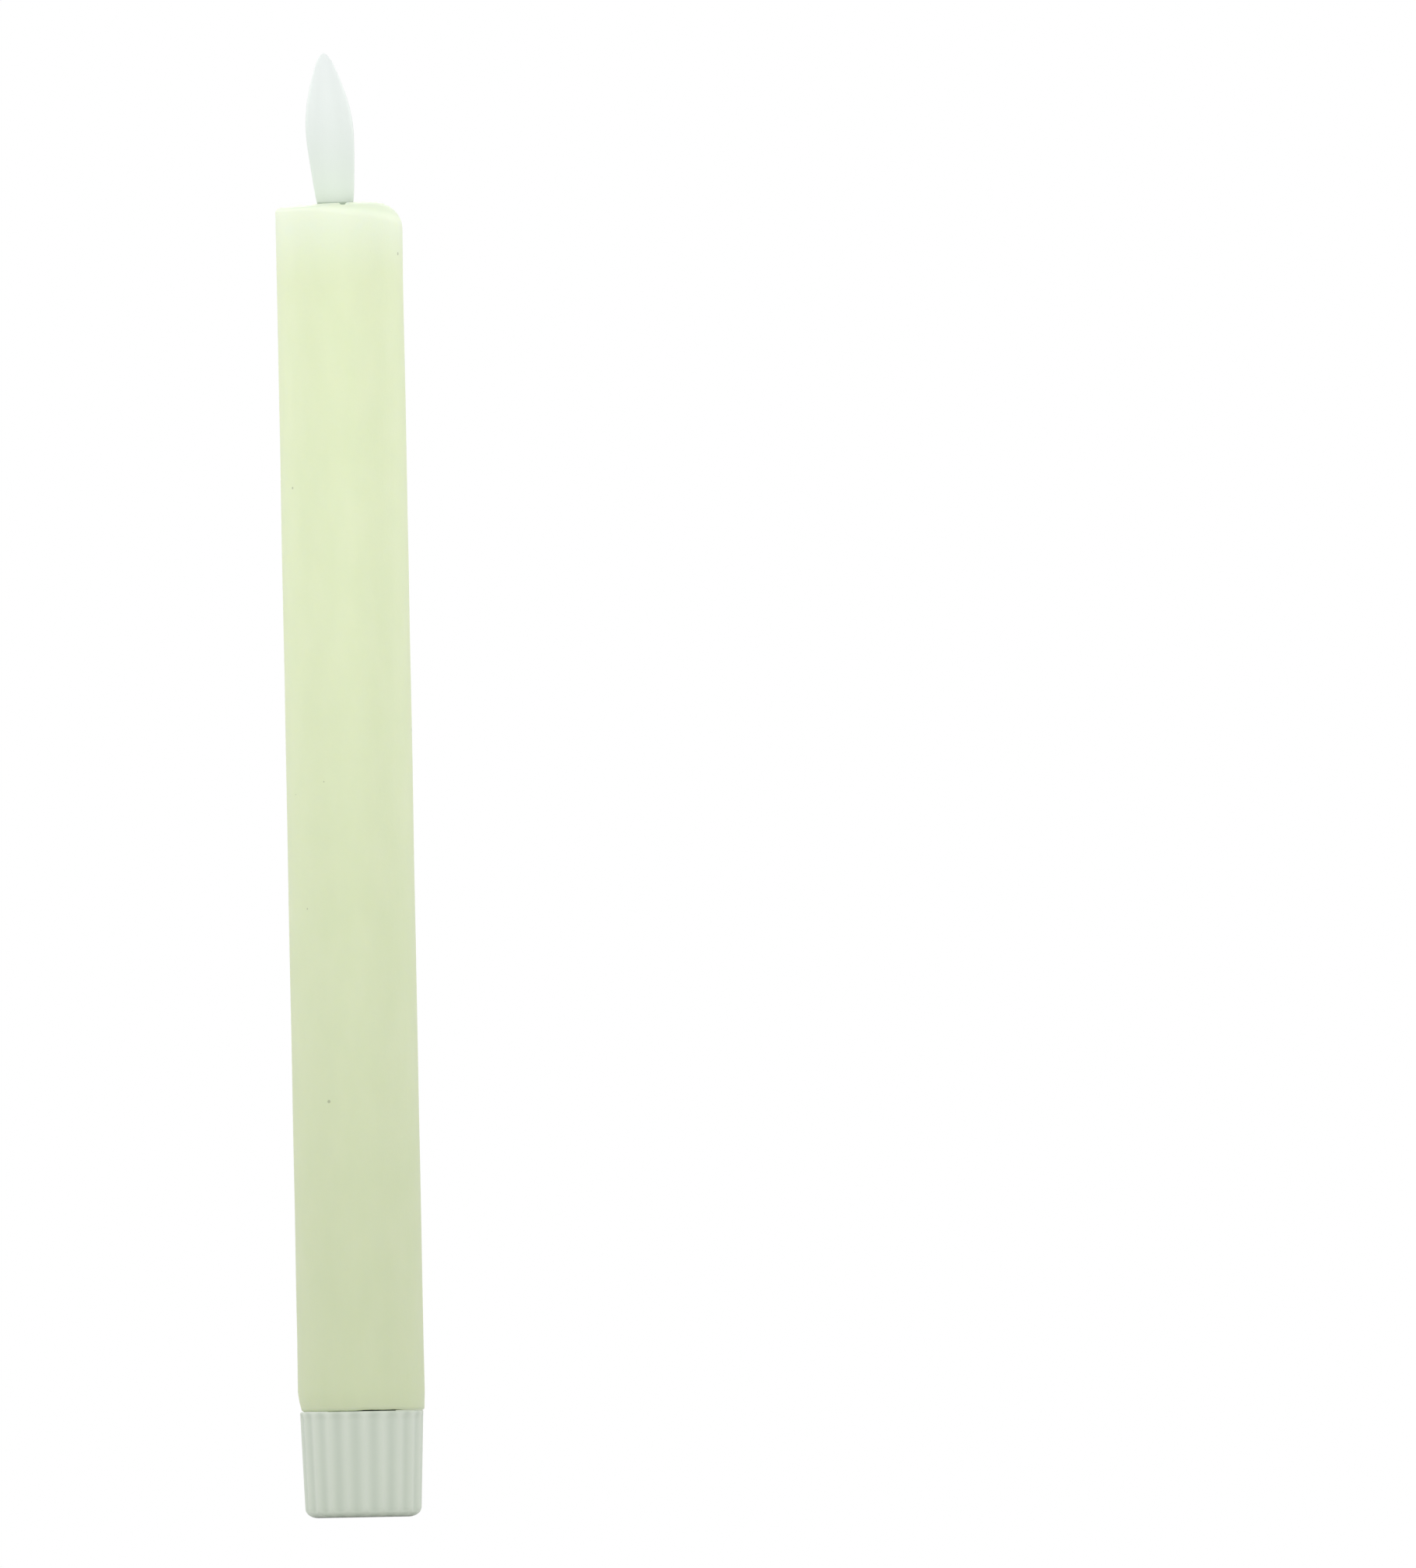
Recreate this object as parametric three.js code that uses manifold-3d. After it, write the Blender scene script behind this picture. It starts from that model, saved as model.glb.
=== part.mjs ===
// Flameless LED taper candle: a wax-coated tube that holds two AAA cells, a ribbed screw cap
// that carries the battery spring, and a small flame that swings on a wire over a drive coil.
// Millimetres, +Z up, origin at the centre of the foot. The front of the candle faces -Y.

import * as THREE from "three";
import { mergeVertices } from "three/addons/utils/BufferGeometryUtils.js";
import Module from "manifold-3d";

const wasm = await Module();
wasm.setup();

// ---- Driving dimensions ------------------------------------------------------------------

const TOTAL_HEIGHT = 254;
const CANDLE_R = 11;
const GAP = 0.3; // between pieces that don't touch
const FIT = 0.1; // between pieces that are pressed or glued together

// Cap
const CAP_HEIGHT = 18.4;
const CAP_RIM_R = 10.7;
const CAP_LOW_R = 10.1; // just above the rounding of the foot
const FOOT_ROUND = 1.6;
const RIB_COUNT = 20;
const RIB_DEPTH = 0.35;
const RIB_TURN = THREE.MathUtils.degToRad(2.5); // of the ribs against the candle's front
const RIM_BAND = 0.4; // smooth band at the top of the ribs
const CAP_WALL_R = 8; // inside of the cap
const CAP_SEAT_R = 8.6; // seat of the threaded plug's plate
const PLUG_PLATE = 1.9;
const CAP_FLOOR = 2;

// Screw thread of the cap, right hand
const THREAD_LEAD = 1.8;
const THREAD_DEPTH = 0.4;
const BOSS_ROOT_R = 5.2;
const COLLAR_ROOT_R = 5.75;
const BOSS_HEIGHT = 5.2;
const BOSS_SHOULDER_R = 5.9;
const BOSS_SHOULDER = 0.8;
const ROWS_PER_TURN = 6;
const THREAD_FADE = 0.6; // length over which the thread runs out

// Cap contact and battery spring
const SLOT_WIDTH = 2.55;
const STRIP_WIDTH = 2.3;
const STRIP_THICKNESS = 0.25;
const STRIP_R = 5.1; // outer face of the strip's upright leg
const STRIP_LEG = 4.4;
const PAD_R = 2.2;
const SPRING_R = 1.58; // middle of the wire
const SPRING_WIRE_R = 0.2;
const SPRING_TURNS = 5.25;
const SPRING_LENGTH = 4; // squeezed between the cap and the cells

// Cells
const CELL_R = 5.15;
const CELL_LENGTH = 44.5;
const NUB_R = 2.75;
const NUB_HEIGHT = 1.2;

// Tubes
const WAX_BORE_R = 7.6;
const CORE_R = 7.3;
const CORE_BORE_R = 6.65;
const HOLDER_R = 6.35; // battery tube, collar and clips slide inside the core tube
const BATTERY_BORE_R = 5.5;
const COLLAR_RECESS = 0.9; // below the mouth of the core tube
const COLLAR_LENGTH = 3.8;
const WAX_TOP = 228.1;
const WAX_SHOULDER_DROP = 3.6; // from the top down to the straight side
const WAX_LIP = 1.7; // wax over the flame socket
const FLAME_HOLE_R = 4.7;
const CORE_TOP = 222;

// Flame, measured from its pivot
const PIVOT_Z = 224;
const FLAME_LEAN = THREE.MathUtils.degToRad(3.5); // where the flame rests, towards -X
const FLAME_LENGTH = (TOTAL_HEIGHT - PIVOT_Z) / Math.cos(FLAME_LEAN);
const FLAME_MOUTH_Z = 2.2;
const FLAME_FLATNESS = 0.58; // thickness over width
const FLAME_WALL = 0.5;
const STEM_BOTTOM = -5;
const STEM_HALF = 0.7; // half its thickness, along the wire
const MAGNET_R = 2.2;
const MAGNET_HEIGHT = 5.4;
const EYE_R = 1.6;
const EYE_HOLE_R = 0.45;
const PIVOT_WIRE_R = 0.25;

// Flame socket, coil and light
const SOCKET_R = 6.4;
const SOCKET_BORE_R = 5.7;
const SOCKET_BOTTOM = 206.2;
const SOCKET_FLOOR = 1.2;
const BOBBIN_R = 3.2;
const BOBBIN_HUB_R = 1.3;
const BOBBIN_HEIGHT = 4.8;
const FLANGE = 0.6;
const LED_R = 1.5;
const LED_Y = 4.05;
const LED_BASE_Z = 216;
const LEG_HALF_PITCH = 0.9;
const LEG_BOTTOM = SOCKET_BOTTOM - 1.4;

// Circuit board
const BOARD_BOTTOM = 150;
const BOARD_TOP = 198;
const BOARD_HALF_WIDTH = 5.5;
const BOARD_THICKNESS = 1;
const LEAD_R = 0.45; // insulated wire

// Heights that follow from the sizes above
const SLEEVE_BOTTOM = CAP_HEIGHT + 0.4;
const CORE_BOTTOM = SLEEVE_BOTTOM + 0.2;
const COLLAR_BOTTOM = CORE_BOTTOM + COLLAR_RECESS;
const COLLAR_TOP = COLLAR_BOTTOM + COLLAR_LENGTH;
const BOSS_TOP = CAP_HEIGHT + BOSS_HEIGHT;
const SPRING_SEAT = BOSS_TOP + STRIP_THICKNESS + 2 * FIT;
const CELL_1_BOTTOM = SPRING_SEAT + SPRING_LENGTH + FIT;
const CELL_2_BOTTOM = CELL_1_BOTTOM + CELL_LENGTH + FIT;
const CELLS_TOP = CELL_2_BOTTOM + CELL_LENGTH;
const TUBE_TOP = CELLS_TOP + 2;
const SOCKET_TOP = WAX_TOP - WAX_LIP - GAP;

// ---- Geometry helpers --------------------------------------------------------------------

/** A closed three.js geometry as a manifold solid. */
function solid(geometry) {
  const bare = geometry.clone();
  bare.deleteAttribute("normal");
  bare.deleteAttribute("uv");
  const merged = mergeVertices(bare, 1e-4);
  return new wasm.Manifold(
    new wasm.Mesh({
      numProp: 3,
      vertProperties: new Float32Array(merged.attributes.position.array),
      triVerts: new Uint32Array(merged.index.array),
    }),
  );
}

/** A manifold solid as a three.js geometry. */
function geometryOf(body) {
  const mesh = body.getMesh();
  const geometry = new THREE.BufferGeometry();
  geometry.setAttribute("position", new THREE.BufferAttribute(mesh.vertProperties, 3));
  geometry.setIndex(new THREE.BufferAttribute(mesh.triVerts, 1));
  geometry.computeVertexNormals();
  return geometry;
}

/** The first geometry with the others cut away. */
function cut(base, ...tools) {
  let body = solid(base);
  for (const tool of tools) {
    body = body.subtract(solid(tool));
  }
  return geometryOf(body);
}

/** Several overlapping geometries as one. */
function join(...parts) {
  let body = solid(parts[0]);
  for (const part of parts.slice(1)) {
    body = body.add(solid(part));
  }
  return geometryOf(body);
}

/** Spins an outline of [radius, height] points about Z. */
function spin(outline, segments) {
  const points = outline.map(([radius, height]) => new THREE.Vector2(radius, height));
  const geometry = new THREE.LatheGeometry(points, segments);
  geometry.rotateX(Math.PI / 2);
  return geometry;
}

/** A ring or tube between two radii and two heights. */
function ring(innerR, outerR, bottom, top, segments) {
  const outline = [
    [innerR, bottom],
    [outerR, bottom],
    [outerR, top],
    [innerR, top],
    [innerR, bottom],
  ];
  return spin(outline, segments);
}

function disc(radius, bottom, top, segments) {
  const geometry = new THREE.CylinderGeometry(radius, radius, top - bottom, segments);
  geometry.rotateX(Math.PI / 2);
  geometry.translate(0, 0, (bottom + top) / 2);
  return geometry;
}

/** A box from its low corner to its high corner. */
function box([x0, y0, z0], [x1, y1, z1]) {
  const geometry = new THREE.BoxGeometry(x1 - x0, y1 - y0, z1 - z0);
  geometry.translate((x0 + x1) / 2, (y0 + y1) / 2, (z0 + z1) / 2);
  return geometry;
}

/** A round wire along a curve. */
function wireAlong(curve, radius, sides, steps) {
  const section = new THREE.Shape();
  section.absarc(0, 0, radius, 0, 2 * Math.PI);
  return new THREE.ExtrudeGeometry(section, {
    extrudePath: curve,
    steps,
    curveSegments: sides / 2,
    bevelEnabled: false,
  });
}

/** An insulated lead through the points given, which are chosen so that it clears the other pieces. */
function lead(...route) {
  const curve = new THREE.CatmullRomCurve3(route.map((point) => new THREE.Vector3(...point)));
  const steps = Math.ceil(curve.getLength() / (4 * LEAD_R));
  return wireAlong(curve, LEAD_R, 8, steps);
}

/** Calls move(point, radius, angle) on every vertex and keeps what it does to the point. */
function reshape(geometry, move) {
  const position = geometry.attributes.position;
  const point = new THREE.Vector3();
  for (let i = 0; i < position.count; i += 1) {
    point.fromBufferAttribute(position, i);
    move(point, Math.hypot(point.x, point.y), Math.atan2(point.y, point.x));
    position.setXYZ(i, point.x, point.y, point.z);
  }
  return geometry;
}

/** Sets how far a point lies from the Z axis, and keeps its direction. */
function setRadius(point, radius, angle) {
  point.x = radius * Math.cos(angle);
  point.y = radius * Math.sin(angle);
}

/** 0 outside a stretch, 1 inside it, with a linear ramp at both ends. */
function inside(z, bottom, top, ramp) {
  return THREE.MathUtils.clamp(Math.min(z - bottom, top - z) / ramp, 0, 1);
}

/** Height along a right-hand thread: 1 on its crest and 0 at its root, for the male side. */
function threadForm(z, angle) {
  return (1 + Math.cos((2 * Math.PI * z) / THREAD_LEAD - angle)) / 2;
}

/** Evenly spaced [radius, z] points up a wall. */
function wall(radius, bottom, top, rows) {
  return Array.from({ length: rows + 1 }, (_, i) => [radius, bottom + ((top - bottom) * i) / rows]);
}

/** Points along a curve as [radius, z] pairs. */
function along(curve, divisions) {
  return curve.getPoints(divisions).map((point) => [point.x, point.y]);
}

// ---- Cap ---------------------------------------------------------------------------------

/** A ribbed cup with a flat, rounded foot and a seat for the threaded plug. */
function capShell() {
  const footR = CAP_LOW_R - FOOT_ROUND;
  const rounding = new THREE.EllipseCurve(footR, FOOT_ROUND, FOOT_ROUND, FOOT_ROUND, -Math.PI / 2, 0);
  const bandBottom = CAP_HEIGHT - RIM_BAND;
  const seatZ = CAP_HEIGHT - PLUG_PLATE - FIT;
  const side = [0.3, 0.94, 0.99].map((share) => [
    THREE.MathUtils.lerp(CAP_LOW_R, CAP_RIM_R, share),
    THREE.MathUtils.lerp(FOOT_ROUND, bandBottom, share),
  ]);
  const outline = [
    [0, 0],
    ...along(rounding, 4),
    ...side,
    [CAP_RIM_R, bandBottom],
    [CAP_RIM_R, CAP_HEIGHT - 0.2],
    [CAP_RIM_R - 0.2, CAP_HEIGHT],
    [CAP_SEAT_R, CAP_HEIGHT],
    [CAP_SEAT_R, seatZ],
    [CAP_WALL_R, seatZ],
    [CAP_WALL_R, CAP_FLOOR],
    [0, CAP_FLOOR],
  ];
  const segmentsPerRib = 4;
  const cup = reshape(spin(outline, RIB_COUNT * segmentsPerRib), (point, radius, angle) => {
    const depth = inside(point.z, FOOT_ROUND / 2, bandBottom, RIM_BAND) * RIB_DEPTH;
    const flute = (1 - Math.cos(RIB_COUNT * angle)) / 2;
    const outer = radius > CAP_SEAT_R + GAP ? 1 : 0;
    setRadius(point, radius - outer * depth * flute, angle);
  });
  cup.rotateZ(RIB_TURN);
  return cup;
}

/** The plate that closes the cap, with the threaded boss that screws into the candle. */
function threadPlug() {
  const threadBottom = CAP_HEIGHT + BOSS_SHOULDER;
  const rows = Math.round((ROWS_PER_TURN * (BOSS_TOP - threadBottom)) / THREAD_LEAD);
  const outline = [
    [0, CAP_HEIGHT - PLUG_PLATE],
    [CAP_SEAT_R - GAP, CAP_HEIGHT - PLUG_PLATE],
    [CAP_SEAT_R - GAP, CAP_HEIGHT],
    [BOSS_SHOULDER_R, CAP_HEIGHT],
    [BOSS_SHOULDER_R, CAP_HEIGHT + BOSS_SHOULDER / 2],
    ...wall(BOSS_ROOT_R, threadBottom, BOSS_TOP, rows),
    [0, BOSS_TOP],
  ];
  const plug = reshape(spin(outline, 32), (point, radius, angle) => {
    const onThread = Math.abs(radius - BOSS_ROOT_R) < 0.01;
    const fade = onThread ? inside(point.z, threadBottom, BOSS_TOP, THREAD_FADE) : 0;
    setRadius(point, radius + THREAD_DEPTH * fade * threadForm(point.z, angle), angle);
  });
  const slotFloorR = STRIP_R - STRIP_THICKNESS - GAP;
  const slot = box(
    [-SLOT_WIDTH / 2, -BOSS_SHOULDER_R - 1, BOSS_TOP - STRIP_LEG - GAP],
    [SLOT_WIDTH / 2, -slotFloorR, BOSS_TOP + 1],
  );
  return cut(plug, slot);
}

/** A bent strip: an upright leg in the boss's slot, and a round pad under the spring. */
function capContact() {
  const top = BOSS_TOP + FIT + STRIP_THICKNESS;
  const bend = 2 * STRIP_THICKNESS;
  const profile = new THREE.Shape();
  profile.moveTo(0, top);
  profile.lineTo(STRIP_R - bend, top);
  profile.absarc(STRIP_R - bend, top - bend, bend, Math.PI / 2, 0, true);
  profile.lineTo(STRIP_R, top - STRIP_LEG);
  profile.lineTo(STRIP_R - STRIP_THICKNESS, top - STRIP_LEG);
  profile.lineTo(STRIP_R - STRIP_THICKNESS, top - bend);
  profile.absarc(STRIP_R - bend, top - bend, bend - STRIP_THICKNESS, 0, Math.PI / 2, false);
  profile.lineTo(0, top - STRIP_THICKNESS);
  profile.closePath();
  const strip = new THREE.ExtrudeGeometry(profile, {
    depth: STRIP_WIDTH,
    bevelEnabled: false,
    curveSegments: 4,
  });
  // The profile lies in XY: its X goes to -Y, its Y to +Z and its depth to -X.
  const turned = new THREE.Matrix4().makeBasis(
    new THREE.Vector3(0, -1, 0),
    new THREE.Vector3(0, 0, 1),
    new THREE.Vector3(-1, 0, 0),
  );
  strip.applyMatrix4(turned);
  strip.translate(STRIP_WIDTH / 2, 0, 0);
  return join(strip, disc(PAD_R, top - STRIP_THICKNESS, top, 20));
}

/** The battery spring, squeezed to the length that it has in the closed candle. */
function batterySpring() {
  class Coil extends THREE.Curve {
    getPoint(share, target = new THREE.Vector3()) {
      const angle = share * SPRING_TURNS * 2 * Math.PI;
      const rise = SPRING_LENGTH - 2 * SPRING_WIRE_R;
      return target.set(SPRING_R * Math.cos(angle), SPRING_R * Math.sin(angle), share * rise);
    }
  }
  const stepsPerTurn = 14;
  const wire = wireAlong(new Coil(), SPRING_WIRE_R, 6, Math.round(SPRING_TURNS * stepsPerTurn));
  wire.translate(0, 0, SPRING_SEAT + SPRING_WIRE_R);
  return wire;
}

// ---- Cells -------------------------------------------------------------------------------

/** An AAA cell with its positive nub up. */
function cell(bottom) {
  const canTop = CELL_LENGTH - NUB_HEIGHT;
  const crimp = 0.4;
  const outline = [
    [0, 0],
    [CELL_R - crimp, 0],
    [CELL_R, crimp],
    [CELL_R, canTop - crimp],
    [CELL_R - crimp, canTop],
    [NUB_R, canTop],
    [NUB_R, CELL_LENGTH - 0.2],
    [NUB_R - 0.2, CELL_LENGTH],
    [0, CELL_LENGTH],
  ];
  const geometry = spin(outline, 32);
  geometry.translate(0, 0, bottom);
  return geometry;
}

// ---- Candle body -------------------------------------------------------------------------

/** The wax: a straight sleeve with a soft domed top, open where the flame comes out. */
function waxSleeve() {
  const shoulderZ = WAX_TOP - WAX_SHOULDER_DROP;
  const dome = new THREE.CubicBezierCurve(
    new THREE.Vector2(CANDLE_R, shoulderZ),
    new THREE.Vector2(CANDLE_R, WAX_TOP - 1.2),
    new THREE.Vector2(CANDLE_R - 2, WAX_TOP - 0.2),
    new THREE.Vector2(FLAME_HOLE_R + 0.8, WAX_TOP),
  );
  const stepZ = CORE_TOP + GAP;
  const stepR = SOCKET_R + GAP;
  const ledgeZ = WAX_TOP - WAX_LIP;
  const outline = [
    [WAX_BORE_R, SLEEVE_BOTTOM],
    [CANDLE_R - 0.7, SLEEVE_BOTTOM],
    [CANDLE_R - 0.25, SLEEVE_BOTTOM + 1.4],
    [CANDLE_R, SLEEVE_BOTTOM + 3.2],
    ...along(dome, 7),
    [FLAME_HOLE_R, WAX_TOP - 0.3],
    [FLAME_HOLE_R, ledgeZ],
    [stepR, ledgeZ],
    [stepR, stepZ],
    [WAX_BORE_R, stepZ],
    [WAX_BORE_R, SLEEVE_BOTTOM],
  ];
  return spin(outline, 48);
}

/** The metal collar that the cap screws into. */
function threadedCollar() {
  const rows = Math.round((ROWS_PER_TURN * COLLAR_LENGTH) / THREAD_LEAD);
  const outline = [
    [HOLDER_R, COLLAR_BOTTOM],
    [HOLDER_R, COLLAR_TOP],
    ...wall(COLLAR_ROOT_R, COLLAR_BOTTOM, COLLAR_TOP, rows).reverse(),
    [HOLDER_R, COLLAR_BOTTOM],
  ];
  return reshape(spin(outline, 32), (point, radius, angle) => {
    const onThread = Math.abs(radius - COLLAR_ROOT_R) < 0.01;
    const fade = onThread ? inside(point.z, COLLAR_BOTTOM, COLLAR_TOP, THREAD_FADE) : 0;
    setRadius(point, radius - THREAD_DEPTH * fade * (1 - threadForm(point.z, angle)), angle);
  });
}

const STRIP_TRACK_R = HOLDER_R - 0.4; // inner face of the strip that runs up the battery tube
const STRIP_TRACK_TOP = TUBE_TOP + 5;

/** The tube that guides the cells, with a groove for the negative strip. */
function batteryTube() {
  const bottom = COLLAR_TOP + FIT;
  const groove = box(
    [STRIP_TRACK_R - FIT, -STRIP_WIDTH / 2 - FIT, bottom - 1],
    [HOLDER_R + 1, STRIP_WIDTH / 2 + FIT, TUBE_TOP + 1],
  );
  return cut(ring(BATTERY_BORE_R, HOLDER_R, bottom, TUBE_TOP, 40), groove);
}

/** The strip that takes the negative side up from the collar. */
function negativeStrip() {
  return box(
    [STRIP_TRACK_R, -STRIP_WIDTH / 2, COLLAR_TOP + FIT],
    [STRIP_TRACK_R + STRIP_THICKNESS, STRIP_WIDTH / 2, STRIP_TRACK_TOP],
  );
}

const PLATE_R = 4.2;
const PLATE_BOTTOM = CELLS_TOP + FIT;
const PLATE_TOP = PLATE_BOTTOM + 0.4;
const RIVET_R = 1;
const RIVET_TOP = TUBE_TOP + 3.2;
const HOLDER_FLANGE_TOP = TUBE_TOP + FIT + 1.5;

/** The plate that meets the upper cell, with its rivet through the terminal holder. */
function positivePlate() {
  const plate = disc(PLATE_R, PLATE_BOTTOM, PLATE_TOP, 24);
  return join(plate, disc(RIVET_R, PLATE_BOTTOM, RIVET_TOP, 12));
}

/** The plug in the top of the battery tube. */
function terminalHolder() {
  const bottom = PLATE_TOP + 2 * FIT;
  const outline = [
    [RIVET_R + FIT, bottom],
    [BATTERY_BORE_R - FIT, bottom],
    [BATTERY_BORE_R - FIT, TUBE_TOP + FIT],
    [HOLDER_R, TUBE_TOP + FIT],
    [HOLDER_R, HOLDER_FLANGE_TOP],
    [RIVET_R + FIT, HOLDER_FLANGE_TOP],
    [RIVET_R + FIT, bottom],
  ];
  const notch = box(
    [STRIP_TRACK_R - FIT, -STRIP_WIDTH / 2 - FIT, TUBE_TOP - 1],
    [HOLDER_R + 1, STRIP_WIDTH / 2 + FIT, HOLDER_FLANGE_TOP + 1],
  );
  return cut(spin(outline, 32), notch);
}

// ---- Electronics -------------------------------------------------------------------------

const BOARD_FACE = BOARD_THICKNESS / 2;
const CLIP_HEIGHT = 3;

/** A ring that holds both edges of the board in the core tube. */
function boardClip(bottom) {
  const slot = box(
    [-BOARD_HALF_WIDTH - FIT, -BOARD_FACE - FIT, bottom - 1],
    [BOARD_HALF_WIDTH + FIT, BOARD_FACE + FIT, bottom + CLIP_HEIGHT + 1],
  );
  return cut(ring(4.9, HOLDER_R, bottom, bottom + CLIP_HEIGHT, 32), slot);
}

/** A block on the front of the board, by its middle, width, depth and height. */
function onBoard(x, z, width, depth, height) {
  const back = -BOARD_FACE - FIT / 2;
  return box(
    [x - width / 2, back - depth, z - height / 2],
    [x + width / 2, back, z + height / 2],
  );
}

/** The control chip: a body with four flat legs on each side. */
function controllerChip() {
  const centreZ = 174;
  const pitch = 1.27;
  const legs = [-1.5, -0.5, 0.5, 1.5].map((step) =>
    onBoard(0, centreZ + step * pitch, 5.6, 0.4, 0.42),
  );
  return join(onBoard(0, centreZ, 3.9, 1.5, 4.9), ...legs);
}

/** A can capacitor that lies along the board. */
function capacitorCan() {
  const canR = 2;
  const can = disc(canR, 158, 165, 20);
  can.translate(-2.4, -BOARD_FACE - FIT - canR, 0);
  return can;
}

/** The moulded cup that holds the coil, the light and the flame's wire. */
function flameSocket() {
  const floorTop = SOCKET_BOTTOM + SOCKET_FLOOR;
  const outline = [
    [BOBBIN_HUB_R, SOCKET_BOTTOM],
    [SOCKET_R, SOCKET_BOTTOM],
    [SOCKET_R, SOCKET_TOP],
    [SOCKET_BORE_R, SOCKET_TOP],
    [SOCKET_BORE_R, floorTop],
    [BOBBIN_HUB_R, floorTop],
    [BOBBIN_HUB_R, SOCKET_BOTTOM],
  ];
  const wireSlot = box(
    [-PIVOT_WIRE_R - FIT, -SOCKET_R - 1, PIVOT_Z - PIVOT_WIRE_R - FIT],
    [PIVOT_WIRE_R + FIT, SOCKET_R + 1, SOCKET_TOP + 1],
  );
  const floorHole = (halfWidth, y) =>
    box([-halfWidth, y - 0.8, SOCKET_BOTTOM - 1], [halfWidth, y + 0.8, floorTop + 1]);
  return cut(spin(outline, 36), wireSlot, floorHole(1.6, LED_Y), floorHole(1.9, -LED_Y));
}

const BOBBIN_BOTTOM = SOCKET_BOTTOM + SOCKET_FLOOR + GAP;

/** The coil's former, with a stub through the floor of the socket. */
function coilBobbin() {
  const top = BOBBIN_BOTTOM + BOBBIN_HEIGHT;
  const outline = [
    [0, SOCKET_BOTTOM + FIT],
    [BOBBIN_HUB_R - GAP, SOCKET_BOTTOM + FIT],
    [BOBBIN_HUB_R - GAP, BOBBIN_BOTTOM],
    [BOBBIN_R, BOBBIN_BOTTOM],
    [BOBBIN_R, BOBBIN_BOTTOM + FLANGE],
    [BOBBIN_HUB_R, BOBBIN_BOTTOM + FLANGE],
    [BOBBIN_HUB_R, top - FLANGE],
    [BOBBIN_R, top - FLANGE],
    [BOBBIN_R, top],
    [0, top],
  ];
  return spin(outline, 24);
}

function coilWinding() {
  const bottom = BOBBIN_BOTTOM + FLANGE + FIT;
  const top = BOBBIN_BOTTOM + BOBBIN_HEIGHT - FLANGE - FIT;
  return ring(BOBBIN_HUB_R + FIT, BOBBIN_R - 0.2, bottom, top, 24);
}

/** A 3 mm light with its two legs through the socket's floor. */
function led() {
  const straight = 3.6;
  const dome = new THREE.EllipseCurve(0, straight, LED_R, LED_R, 0, Math.PI / 2);
  const bulb = spin([[0, 0], [LED_R, 0], ...along(dome, 5)], 20);
  bulb.translate(0, LED_Y, LED_BASE_Z);
  const half = 0.22;
  const legs = [-1, 1].map((side) =>
    box(
      [side * LEG_HALF_PITCH - half, LED_Y - half, LEG_BOTTOM],
      [side * LEG_HALF_PITCH + half, LED_Y + half, LED_BASE_Z + 0.5],
    ),
  );
  return join(bulb, ...legs);
}

/** A lead from a leg of the light to the back of the board. */
function ledLead(side) {
  const x = side * LEG_HALF_PITCH;
  return lead(
    [x, LED_Y, LEG_BOTTOM - GAP],
    [x * 1.3, LED_Y - 0.3, 202],
    [side * 2.2, 2.4, 199],
    [side * 2.4, BOARD_FACE + LEAD_R + FIT, 195],
    [side * 2.4, BOARD_FACE + LEAD_R + FIT, 190],
  );
}

/** A lead from the coil, through the socket's floor, to the front of the board. */
function coilLead(side) {
  return lead(
    [side * 1.1, -BOBBIN_R - LEAD_R - FIT, BOBBIN_BOTTOM + 1.6],
    [side * 1.1, -LED_Y, SOCKET_BOTTOM],
    [side * 1.6, -3.6, 202],
    [side * 3, -2, 199],
    [side * 3.4, -BOARD_FACE - LEAD_R - FIT, 195],
    [side * 3.4, -BOARD_FACE - LEAD_R - FIT, 190],
  );
}

/** From the rivet of the positive plate to the board. */
function positiveLead() {
  return lead(
    [0, 0, RIVET_TOP + GAP],
    [-0.4, -0.2, RIVET_TOP + 4],
    [-2.6, -1.8, 134],
    [-3, -1.6, 145],
    [-2.4, -BOARD_FACE - LEAD_R - FIT, 151],
    [-2.4, -BOARD_FACE - LEAD_R - FIT, 156],
  );
}

/** From the top of the negative strip to the board. */
function negativeLead() {
  return lead(
    [STRIP_TRACK_R - LEAD_R - FIT, 0, STRIP_TRACK_TOP - 3],
    [STRIP_TRACK_R - LEAD_R - FIT, 0, STRIP_TRACK_TOP + 2],
    [4.2, 1.2, 135],
    [2.9, 1.9, 145],
    [2.4, BOARD_FACE + LEAD_R + FIT, 151],
    [2.4, BOARD_FACE + LEAD_R + FIT, 156],
  );
}

// ---- Flame, with its pivot at the origin ---------------------------------------------------

/** A leaf outline: half widths that grow from the mouth to the waist and close at the tip. */
function flameOutline(inset) {
  const tip = FLAME_LENGTH;
  const points = [
    [2.2, FLAME_MOUTH_Z],
    [3.3, 4.1],
    [3.8, 9],
    [4.2, 15.5],
    [3.42, tip - 7.2],
    [1.6, tip - 1.9],
    [0.75, tip - 0.45],
    [0, tip],
  ];
  const curve = new THREE.SplineCurve(points.map(([x, y]) => new THREE.Vector2(x, y)));
  const rows = along(curve, 15).map(([radius, z]) => [Math.max(radius - inset, 0), z]);
  const open = rows.filter(([radius, z]) => radius > 0 && z < tip - 2 * inset);
  return [[0, FLAME_MOUTH_Z], ...open, [0, tip - 2 * inset]];
}

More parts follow.
